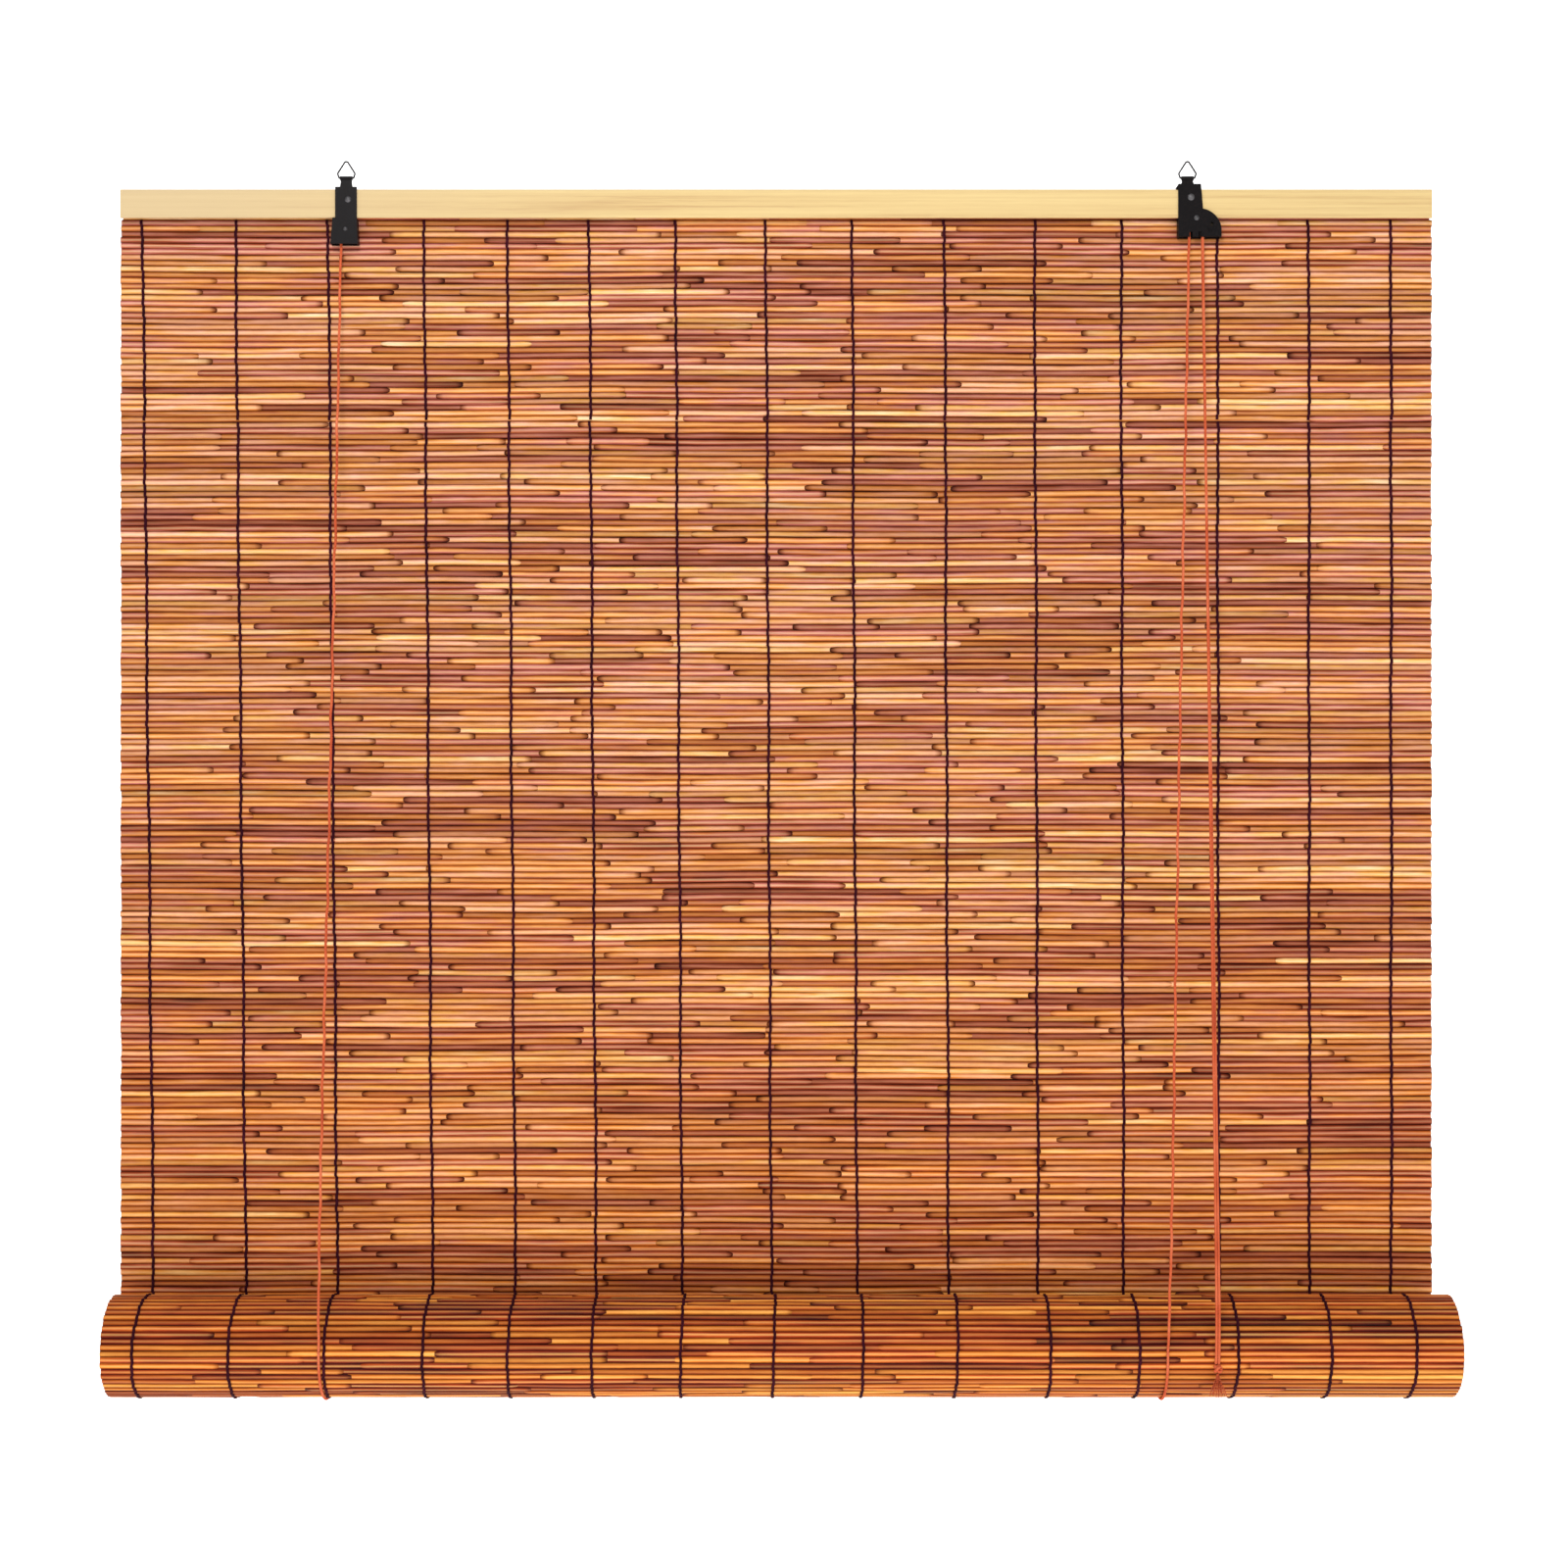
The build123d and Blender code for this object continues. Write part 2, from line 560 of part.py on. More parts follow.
with BuildPart() as right_plate:
    with BuildSketch(at_depth(PLATE_THICKNESS / 2)):
        right_outline()
    extrude(amount=PLATE_THICKNESS)
    neck(RIGHT_RING_X, right_top)
    prong_reach, prong_top, prong_tip, prong_foot = PRONG
    polygon(
        [
            (right_left, RAIL_Z + prong_top),
            (right_left - prong_reach, RAIL_Z + prong_tip),
            (right_left, RAIL_Z + prong_foot),
        ],
        PLATE_THICKNESS / 2,
        PLATE_THICKNESS,
    )
    with BuildSketch(at_depth(CHEEK_Y)):
        right_outline()
        offset(amount=-WALL_THICKNESS, mode=Mode.SUBTRACT)
        wall_height = wall_top - right_bottom
        with Locations((right_left, right_bottom)):
            Rectangle(quadrant_end[0] - right_left, wall_height, align=Align.MIN, mode=Mode.INTERSECT)
        with Locations((right_left + WALL_THICKNESS, right_bottom)):
            floor_width = quadrant_end[0] - right_left - 2 * WALL_THICKNESS
            Rectangle(floor_width, WALL_THICKNESS, align=Align.MIN, mode=Mode.SUBTRACT)
    extrude(amount=HOUSING_DEPTH)
    for x in NOTCH_X:
        with BuildSketch(at_depth(PLATE_THICKNESS / 2)):
            with Locations((RIGHT_RING_X + x, right_bottom)):
                Rectangle(NOTCH_WIDTH, NOTCH_HEIGHT, align=(Align.CENTER, Align.MIN))
        extrude(amount=PLATE_THICKNESS, mode=Mode.SUBTRACT)
    hole(right_rivet_place, RIVET_RADIUS + HOLE_CLEARANCE, -PLATE_THICKNESS / 2, PLATE_THICKNESS / 2)
    hole(right_pulley_place, RIVET_RADIUS + HOLE_CLEARANCE, -PLATE_THICKNESS / 2, PLATE_THICKNESS / 2)
    lock_slot(PLATE_THICKNESS / 2, PLATE_THICKNESS)
right_plate.part.label = "right_plate"
export_step(right_plate.part, "parts/right_plate.step")

with BuildPart() as right_cheek:
    cheek_rear = CHEEK_Y + CHEEK_THICKNESS
    with BuildSketch(at_depth(cheek_rear)):
        right_outline()
        with Locations((right_left, right_bottom)):
            cheek_height = RAIL_Z + RIGHT_CHEEK_TOP - right_bottom
            Rectangle(quadrant_end[0] - right_left, cheek_height, align=Align.MIN, mode=Mode.INTERSECT)
    extrude(amount=CHEEK_THICKNESS)
    hole(right_pulley_place, RIVET_RADIUS + HOLE_CLEARANCE, CHEEK_Y, cheek_rear)
    lock_slot(cheek_rear, CHEEK_THICKNESS)
right_cheek.part.label = "right_cheek"
export_step(right_cheek.part, "parts/right_cheek.step")

with BuildPart() as lock_anvil:
    anvil_right = strand_x - CORD_RADIUS - CORD_CLEARANCE
    anvil_top = RAIL_Z + ANVIL_TOP
    polygon(
        [
            (anvil_right, anvil_top),
            (anvil_right - ANVIL_WIDTH, anvil_top),
            (anvil_right - ANVIL_WIDTH, anvil_top - ANVIL_HEIGHT),
            (anvil_right, anvil_top - ANVIL_HEIGHT),
        ],
        CHEEK_Y,
        HOUSING_DEPTH,
    )
lock_anvil.part.label = "lock_anvil"
export_step(lock_anvil.part, "parts/lock_anvil.step")

with BuildPart() as lock_axle:
    axle_front = -PLATE_THICKNESS / 2 - HOLE_CLEARANCE
    axle_rear = CHEEK_Y + CHEEK_THICKNESS
    shank(roller_place, axle_front, axle_rear, AXLE_RADIUS)
    shank(roller_place, axle_front - AXLE_HEAD_DEPTH, axle_front, AXLE_HEAD_RADIUS)
lock_axle.part.label = "lock_axle"
export_step(lock_axle.part, "parts/lock_axle.step")

with BuildPart() as lock_roller:
    roller_front = RAIL_FRONT_Y + PULLEY_SIDE_GAP
    roller_rear = CHEEK_Y - PULLEY_SIDE_GAP
    with BuildSketch(at_depth(roller_rear)):
        with Locations(roller_place):
            Circle(ROLLER_RADIUS)
            with PolarLocations(ROLLER_RADIUS, KNURL_COUNT):
                Circle(KNURL_RADIUS)
            Circle(AXLE_RADIUS + HOLE_CLEARANCE, mode=Mode.SUBTRACT)
    extrude(amount=roller_rear - roller_front)
lock_roller.part.label = "lock_roller"
export_step(lock_roller.part, "parts/lock_roller.step")

# Pulleys: grooved wheels that turn on the lower rivets
for name, place, wrap_radius, lane_y in (
    ("left_pulley", left_pulley_place, LEFT_WRAP_RADIUS, REAR_LANE_Y),
    ("right_lift_pulley", right_pulley_place, RIGHT_WRAP_RADIUS, FRONT_LANE_Y),
    ("right_cross_pulley", right_pulley_place, RIGHT_WRAP_RADIUS, REAR_LANE_Y),
):
    with BuildPart() as pulley:
        groove_radius = CORD_RADIUS + CORD_CLEARANCE
        with BuildSketch(Plane.XY.offset(place[1])):
            with Locations((place[0], lane_y)):
                Rectangle(wrap_radius + PULLEY_LIP, PULLEY_WIDTH, align=(Align.MIN, Align.CENTER))
                bore = RIVET_RADIUS + HOLE_CLEARANCE
                Rectangle(bore, PULLEY_WIDTH, align=(Align.MIN, Align.CENTER), mode=Mode.SUBTRACT)
            with Locations((place[0] + wrap_radius, lane_y)):
                Circle(groove_radius, mode=Mode.SUBTRACT)
                Rectangle(
                    PULLEY_LIP, 2 * groove_radius, align=(Align.MIN, Align.CENTER), mode=Mode.SUBTRACT
                )
        revolve(axis=Axis((place[0], 0, place[1]), (0, 1, 0)))
    pulley.part.label = name
    export_step(pulley.part, f"parts/{name}.step")

# Rivets, rear plates and rings of both heads
for side, ring_x, rivet_place, pin_place, dome_radii in (
    ("left", 0, left_rivet_place, left_pulley_place, LEFT_DOME_RADII),
    ("right", RIGHT_RING_X, right_rivet_place, right_pulley_place, RIGHT_DOME_RADII),
):
    rear_face = RAIL_REAR_Y + PLATE_THICKNESS
    with BuildPart() as fixing_rivet:
        shank(rivet_place, -PLATE_THICKNESS / 2, rear_face, RIVET_RADIUS)
        dome(rivet_place, dome_radii[0])
        shank(rivet_place, rear_face, rear_face + DOME_HEIGHT / 2, dome_radii[0])
    fixing_rivet.part.label = f"{side}_fixing_rivet"
    export_step(fixing_rivet.part, f"parts/{side}_fixing_rivet.step")

    with BuildPart() as pulley_pin:
        shank(pin_place, -PLATE_THICKNESS / 2, CHEEK_Y + CHEEK_THICKNESS, RIVET_RADIUS)
        dome(pin_place, dome_radii[1])
    pulley_pin.part.label = f"{side}_pulley_pin"
    export_step(pulley_pin.part, f"parts/{side}_pulley_pin.step")

    with BuildPart() as rear_plate:
        rear_x = LEFT_REAR_X if side == "left" else RIGHT_REAR_X
        plate_middle = (rivet_place[0] + rear_x) / 2
        with BuildSketch(at_depth(rear_face)):
            with Locations((plate_middle, RAIL_Z + LUG_HEIGHT)):
                plate_height = REAR_PLATE_HEIGHT - LUG_HEIGHT
                Rectangle(REAR_PLATE_WIDTH, plate_height, align=(Align.CENTER, Align.MIN))
        extrude(amount=PLATE_THICKNESS)
        with BuildSketch(Plane.XY.offset(RAIL_Z + LUG_HEIGHT)):
            with Locations((plate_middle, RAIL_REAR_Y)):
                Rectangle(REAR_PLATE_WIDTH, PLATE_THICKNESS + LUG_REACH, align=(Align.CENTER, Align.MIN))
            with Locations((rear_x, rear_face + LUG_HOLE_REACH)):
                Circle(CORD_RADIUS + CORD_CLEARANCE, mode=Mode.SUBTRACT)
        extrude(amount=PLATE_THICKNESS)
        hole(rivet_place, RIVET_RADIUS + HOLE_CLEARANCE, RAIL_REAR_Y, rear_face)
    rear_plate.part.label = f"{side}_rear_plate"
    export_step(rear_plate.part, f"parts/{side}_rear_plate.step")

    with BuildPart() as ring:
        half_apex = atan2(RING_HALF_WIDTH, RING_HEIGHT - RING_SHOULDER)
        base_bend, shoulder_bend, apex_bend = RING_BEND_RADII
        apex_z = BASE_Z + RING_HEIGHT + apex_bend * (1 / sin(half_apex) - 1)
        shoulder_level = BASE_Z + RING_SHOULDER
        with BuildLine() as wire:
            FilletPolyline(
                (ring_x - RING_BASE_HALF, 0, BASE_Z),
                (ring_x - RING_HALF_WIDTH, 0, shoulder_level),
                (ring_x, 0, apex_z),
                (ring_x + RING_HALF_WIDTH, 0, shoulder_level),
                (ring_x + RING_BASE_HALF, 0, BASE_Z),
                radius=[base_bend, shoulder_bend, apex_bend, shoulder_bend, base_bend],
                close=True,
            )
        with BuildSketch(Plane(origin=wire.line @ 0, z_dir=wire.line % 0)):
            Circle(WIRE_DIAMETER / 2)
        sweep(path=wire.line)
    ring.part.label = f"{side}_ring"
    export_step(ring.part, f"parts/{side}_ring.step")

# ---------------------------------------------------------------- lift cords
left_run_x = left_pulley_place[0] - LEFT_WRAP_RADIUS
right_run_x = right_pulley_place[0] - RIGHT_WRAP_RADIUS
left_bend = Vector(left_run_x, REAR_LANE_Y, RAIL_Z + LEFT_EXIT)
right_bend = Vector(right_run_x, FRONT_LANE_Y, RAIL_Z + RIGHT_EXIT)
front_strand_bend = Vector(strand_x, FRONT_LANE_Y, RAIL_Z + RIGHT_EXIT)
rear_strand_bend = Vector(strand_x, REAR_LANE_Y, RAIL_Z + RIGHT_EXIT)


def roll_front(bend, target_x):
    """Point where a cord from bend meets the front of the sling's circle."""
    return sling_point(target_x, sling_tangent(bend.Y, bend.Z, 1))


def lead(bend, target):
    """Point a little past a bend, towards a target."""
    return bend + (target - bend).normalized() * EXIT_LEAD


left_front = roll_front(left_bend, LEFT_SLING_X)
right_front = roll_front(right_bend, RIGHT_SLING_X)
front_strand_front = roll_front(front_strand_bend, PULL_X - PULL_SPREAD)
rear_strand_front = roll_front(rear_strand_bend, PULL_X + PULL_SPREAD)

guide_wrap = GUIDE_RADIUS + CORD_RADIUS + CORD_CLEARANCE
leave_left = over_tangent(left_pulley_place, LEFT_WRAP_RADIUS, left_guide_place, guide_wrap)
leave_guide = over_tangent(left_guide_place, guide_wrap, right_pulley_place, RIGHT_WRAP_RADIUS)


def wrap(place, radius, start, end, y):
    """Arc of cord over a pulley or pin, from one angle to another."""
    ThreePointArc(
        on_circle(place, radius, start, y),
        on_circle(place, radius, (start + end) / 2, y),
        on_circle(place, radius, end, y),
    )


with BuildPart() as cross_cord:
    with BuildLine() as route:
        FilletPolyline(
            lead(left_bend, left_front),
            left_bend,
            on_circle(left_pulley_place, LEFT_WRAP_RADIUS, pi, REAR_LANE_Y),
            radius=EXIT_BEND_RADIUS,
        )
        wrap(left_pulley_place, LEFT_WRAP_RADIUS, pi, leave_left, REAR_LANE_Y)
        Line(
            on_circle(left_pulley_place, LEFT_WRAP_RADIUS, leave_left, REAR_LANE_Y),
            on_circle(left_guide_place, guide_wrap, leave_left, REAR_LANE_Y),
        )
        wrap(left_guide_place, guide_wrap, leave_left, leave_guide, REAR_LANE_Y)
        Line(
            on_circle(left_guide_place, guide_wrap, leave_guide, REAR_LANE_Y),
            on_circle(right_pulley_place, RIGHT_WRAP_RADIUS, leave_guide, REAR_LANE_Y),
        )
        wrap(right_pulley_place, RIGHT_WRAP_RADIUS, leave_guide, 0, REAR_LANE_Y)
        FilletPolyline(
            on_circle(right_pulley_place, RIGHT_WRAP_RADIUS, 0, REAR_LANE_Y),
            rear_strand_bend,
            lead(rear_strand_bend, rear_strand_front),
            radius=EXIT_BEND_RADIUS,
        )
    sweep_cord(route.line)
cross_cord.part.label = "cross_cord"
export_step(cross_cord.part, "parts/cross_cord.step")

with BuildPart() as right_head_cord:
    with BuildLine() as route:
        FilletPolyline(
            lead(right_bend, right_front),
            right_bend,
            on_circle(right_pulley_place, RIGHT_WRAP_RADIUS, pi, FRONT_LANE_Y),
            radius=EXIT_BEND_RADIUS,
        )
        wrap(right_pulley_place, RIGHT_WRAP_RADIUS, pi, 0, FRONT_LANE_Y)
        FilletPolyline(
            on_circle(right_pulley_place, RIGHT_WRAP_RADIUS, 0, FRONT_LANE_Y),
            front_strand_bend,
            lead(front_strand_bend, front_strand_front),
            radius=EXIT_BEND_RADIUS,
        )
    sweep_cord(route.line)
right_head_cord.part.label = "right_head_cord"
export_step(right_head_cord.part, "parts/right_head_cord.step")

for side, bend, front, sling_x, rear_x in (
    ("left", left_bend, left_front, LEFT_SLING_X, LEFT_REAR_X),
    ("right", right_bend, right_front, RIGHT_SLING_X, RIGHT_REAR_X),
):
    with BuildPart() as front_run:
        with BuildLine() as route:
            toward = (front - bend).normalized()
            Line(lead(bend, front), front - toward * RUN_GAP)
        sweep_cord(route.line)
    front_run.part.label = f"{side}_front_run"
    export_step(front_run.part, f"parts/{side}_front_run.step")

    lug_top = RAIL_Z + LUG_HEIGHT + PLATE_THICKNESS
    eye = Vector(rear_x, RAIL_REAR_Y + PLATE_THICKNESS + LUG_HOLE_REACH, lug_top)
    rear_angle = sling_tangent(eye.Y, eye.Z, -1)
    rear = sling_point(sling_x, rear_angle)
    with BuildPart() as rear_run:
        with BuildLine() as route:
            toward = (rear - eye).normalized()
            Line(eye, rear - toward * RUN_GAP)
        sweep_cord(route.line)
    rear_run.part.label = f"{side}_rear_run"
    export_step(rear_run.part, f"parts/{side}_rear_run.step")

    with BuildPart() as rear_knot:
        with Locations(eye + Vector(0, 0, REAR_KNOT_RADIUS)):
            Sphere(REAR_KNOT_RADIUS)
        with Locations(eye):
            Cylinder(CORD_RADIUS, REAR_KNOT_RADIUS, align=(Align.CENTER, Align.CENTER, Align.MIN))
    rear_knot.part.label = f"{side}_rear_knot"
    export_step(rear_knot.part, f"parts/{side}_rear_knot.step")

    with BuildPart() as sling:
        front_angle = sling_tangent(bend.Y, bend.Z, 1)
        sweep_angle = 360 - degrees(front_angle - rear_angle)
        with BuildLine(across(sling_x)) as route:
            CenterArc((ROLL_Y, ROLL_Z), SLING_RADIUS, degrees(rear_angle), -sweep_angle)
        sweep_cord(route.line)
    sling.part.label = f"{side}_sling"
    export_step(sling.part, f"parts/{side}_sling.step")

# Pull strands: the two cords' tails, down over the roll's front to one knot
knot_z = ROLL_Z - KNOT_DROP
roll_surface = (SLING_RADIUS - CORD_RADIUS) ** 2 - KNOT_DROP**2
knot_y = ROLL_Y - roll_surface**0.5 - KNOT_CLEARANCE - KNOT_RADIUS
for name, bend, front in (
    ("pull_strand_front", front_strand_bend, front_strand_front),
    ("pull_strand_rear", rear_strand_bend, rear_strand_front),
):
    with BuildPart() as strand:
        slope = (front - bend).normalized()
        to_front = (ROLL_Y - SLING_RADIUS - front.Y) / slope.Y
        corner = front + slope * to_front
        with BuildLine() as route:
            FilletPolyline(
                lead(bend, front),
                corner,
                Vector(corner.X, corner.Y, knot_z + KNOT_RADIUS + KNOT_GAP),
                radius=SLING_RADIUS,
            )
        sweep_cord(route.line)
    strand.part.label = name
    export_step(strand.part, f"parts/{name}.step")
    tube_length = sum(edge.length for edge in route.edges())
    tube_volume = pi * CORD_RADIUS**2 * tube_length
    print(f"{name}: length {tube_length:.1f}, arc radius {SLING_RADIUS:.1f}")
    print(f"{name}: volume {strand.part.volume:.1f}, section x length {tube_volume:.1f}")

with BuildPart() as pull_knot:
    with Locations((PULL_X, knot_y, knot_z)):
        Sphere(KNOT_RADIUS)
    with Locations((PULL_X, knot_y, knot_z - TASSEL_TUCK)):
        hanging = (Align.CENTER, Align.CENTER, Align.MAX)
        Cylinder(KNOT_RADIUS, KNOT_RADIUS, align=hanging, mode=Mode.SUBTRACT)
pull_knot.part.label = "pull_knot"
export_step(pull_knot.part, "parts/pull_knot.step")

with BuildPart() as tassel:
    tassel_top = knot_z - TASSEL_TUCK
    with BuildSketch(Plane.XY.offset(tassel_top - TASSEL_LENGTH)):
        with Locations((PULL_X, knot_y)):
            Circle(TASSEL_FOOT_RADIUS)
    with BuildSketch(Plane.XY.offset(tassel_top)):
        with Locations((PULL_X, knot_y)):
            Circle(TASSEL_TOP_RADIUS)
    loft()
tassel.part.label = "tassel"
export_step(tassel.part, "parts/tassel.step")

print("roll axis", round(ROLL_Y, 3), round(ROLL_Z, 3), "rail lower edge", round(RAIL_Z, 3))
print("left pulley", left_pulley_place, "right pulley", right_pulley_place, "roller", roller_place)
for name, cord in (("cross_cord", cross_cord), ("right_head_cord", right_head_cord)):
    print(f"{name}: length {cord.part.volume / (pi * CORD_RADIUS**2):.1f}")
print(f"arcs: lift circle {SLING_RADIUS:.1f}, pulleys {LEFT_WRAP_RADIUS} {RIGHT_WRAP_RADIUS}, guide {guide_wrap}")
rolled_length = sum(pi * radius for _, radius, _ in half_turns())
print(f"mat: {HANGING_DROP:.0f} hanging, {rolled_length:.0f} rolled")
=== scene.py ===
# %% [markdown]
# # Reed roll-up blind
#
# A reed blind is a mat of thin natural sticks bound by dark threads. It hangs from a softwood rail, and two
# lift cords pass under it, so that pulling them rolls it up from the bottom. The rail, the two black pulley
# heads and the rings come from the CAD model. This script makes the reeds, threads, cords and tassel in mesh
# code, gives every piece a procedural finish, and sets the light and the camera.

# %% Load the frame
import json
import math

import bpy
import numpy as np
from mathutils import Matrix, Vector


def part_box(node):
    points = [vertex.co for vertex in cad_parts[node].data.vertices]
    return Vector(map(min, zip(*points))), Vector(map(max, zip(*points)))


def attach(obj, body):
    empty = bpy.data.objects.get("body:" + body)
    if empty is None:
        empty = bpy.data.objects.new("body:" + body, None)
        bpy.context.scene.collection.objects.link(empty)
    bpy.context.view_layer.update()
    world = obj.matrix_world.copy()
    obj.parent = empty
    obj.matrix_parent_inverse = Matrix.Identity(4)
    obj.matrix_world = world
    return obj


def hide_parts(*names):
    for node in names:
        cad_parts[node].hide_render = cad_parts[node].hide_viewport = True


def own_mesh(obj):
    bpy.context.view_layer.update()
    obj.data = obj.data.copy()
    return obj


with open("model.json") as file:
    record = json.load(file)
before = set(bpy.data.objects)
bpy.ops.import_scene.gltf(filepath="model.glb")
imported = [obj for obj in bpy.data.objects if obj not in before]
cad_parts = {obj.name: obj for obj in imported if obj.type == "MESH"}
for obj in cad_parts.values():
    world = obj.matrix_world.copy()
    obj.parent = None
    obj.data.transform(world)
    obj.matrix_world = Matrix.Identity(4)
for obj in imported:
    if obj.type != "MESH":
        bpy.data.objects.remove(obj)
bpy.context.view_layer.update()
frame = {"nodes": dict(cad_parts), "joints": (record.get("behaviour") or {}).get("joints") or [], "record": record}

MM = 0.001
SEED = 7
rng = np.random.default_rng(SEED)

# %% [markdown]
# ## Places read from the frame
#
# Nothing is measured twice. The rail's ends, the mat's thickness, the roll's axis, the threads' places and
# the knot and tassel come from the CAD nodes and joints, so a change of size there carries through to the
# pieces made from them. The cords' bends and eyes are given as numbers.

# %% Rail, mat and roll
rail_low, rail_high = (np.array(corner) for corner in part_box("front_batten"))
head_low, head_high = (np.array(corner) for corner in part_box("mat_head"))
roll_low, roll_high = (np.array(corner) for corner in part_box("rolled_mat"))
joints = {joint["name"]: joint for joint in frame["joints"]}

TURN_GAP = 0.6 * MM
ROW_PRESS = 0.1 * MM
LEFT, RIGHT = rail_low[0], rail_high[0]
MIDDLE = (LEFT + RIGHT) / 2
RAIL_FOOT = rail_low[2]
MAT_Y = (head_low[1] + head_high[1]) / 2
REED = (head_high[1] - head_low[1]) / 2
ROLL_Y, ROLL_Z = joints["roll_turn"]["pos_m"][1:]
ROLL_RADIUS = MAT_Y - ROLL_Y
TURN_PITCH = 2 * REED + TURN_GAP
TRAVEL = joints["roll_lift"]["range_m"][1]
DROP = RAIL_FOOT - ROLL_Z
PITCH = DROP / round(DROP / (2 * REED - ROW_PRESS))
STILL_DROP = DROP - TRAVEL
print(f"reed {2 * REED / MM:.1f} mm, pitch {PITCH / MM:.2f} mm, roll radius {ROLL_RADIUS / MM:.1f} mm")

# %% [markdown]
# ## Camera and studio
#
# The blind is seen square on from a little over two metres, so the roll, which is nearer than the mat, looks
# wider than the rail. A long white sweep stands behind and below, and big soft lamps from the front keep the
# light even, as for a catalogue.

# %% Camera
CAMERA_DISTANCE = 2.18
CAMERA_DROP = 0.518
CAMERA_SHIFT = 0.005
SEEN_WIDTH = 1.44
SENSOR_WIDTH = 36
camera_data = bpy.data.cameras.new("camera")
camera_data.sensor_width = SENSOR_WIDTH
camera_data.lens = SENSOR_WIDTH * CAMERA_DISTANCE / SEEN_WIDTH
camera_data.shift_x = CAMERA_SHIFT
camera = bpy.data.objects.new("camera", camera_data)
camera.location = (MIDDLE, rail_high[1] - CAMERA_DISTANCE, RAIL_FOOT - CAMERA_DROP)
camera.rotation_euler = (math.radians(90), 0, 0)
bpy.context.scene.collection.objects.link(camera)
bpy.context.scene.camera = camera
bpy.context.scene.view_settings.view_transform = "Standard"
print(f"lens {camera_data.lens:.1f} mm")


# %% Lamps and world
def soft_lamp(name, place, aim, size, power):
    """White square area lamp at place, turned to face aim."""
    data = bpy.data.lights.new(name, "AREA")
    data.shape = "SQUARE"
    data.size = size
    data.energy = power
    lamp = bpy.data.objects.new(name, data)
    lamp.location = place
    direction = np.array(aim) - np.array(place)
    yaw = math.atan2(direction[1], direction[0]) - math.pi / 2
    pitch = math.atan2(direction[2], math.hypot(direction[0], direction[1]))
    lamp.rotation_euler = (math.pi / 2 + pitch, 0, yaw)
    bpy.context.scene.collection.objects.link(lamp)


WORLD_STRENGTH = 0.50
blind_middle = (MIDDLE, 0, RAIL_FOOT - DROP / 2)
soft_lamp("key", (MIDDLE - 0.5, -2.4, 1.1), blind_middle, 0.7, 40)
soft_lamp("fill", (MIDDLE + 1.2, -2.2, -0.7), blind_middle, 1.6, 11)
world = bpy.data.worlds.new("studio")
world.use_nodes = True
world.node_tree.nodes["Background"].inputs["Color"].default_value = (1, 1, 1, 1)
world.node_tree.nodes["Background"].inputs["Strength"].default_value = WORLD_STRENGTH
bpy.context.scene.world = world

# %% [markdown]
# ## Shader maths in plain Python
#
# A finish is easier to read as an expression than as a web of nodes. `Value` wraps one socket: writing
# `a * 2 + b` adds the Math nodes for it. `Finish` starts a material and adds any other node with one method.


# %% Value and Finish
class Value:
    """One output socket, with arithmetic that adds Math nodes."""

    def __init__(self, finish, socket):
        self.finish = finish
        self.socket = socket

    def math(self, operation, *others):
        inputs = dict(enumerate((self, *others)))
        node = self.finish.node("ShaderNodeMath", {"operation": operation}, inputs)
        return Value(self.finish, node.outputs[0])

    def __add__(self, other):
        return self.math("ADD", other)

    def __sub__(self, other):
        return self.math("SUBTRACT", other)

    def __mul__(self, other):
        return self.math("MULTIPLY", other)

    def __rsub__(self, other):
        return self * -1 + other

    def __pow__(self, other):
        return self.math("POWER", other)

    __radd__ = __add__
    __rmul__ = __mul__

    def clamp(self):
        return self.math("MAXIMUM", 0).math("MINIMUM", 1)

    def step(self, low, high):
        """0 below low, 1 above high, smooth between."""
        settings = {"interpolation_type": "SMOOTHSTEP"}
        inputs = {"Value": self, "From Min": low, "From Max": high}
        node = self.finish.node("ShaderNodeMapRange", settings, inputs)
        return Value(self.finish, node.outputs["Result"])


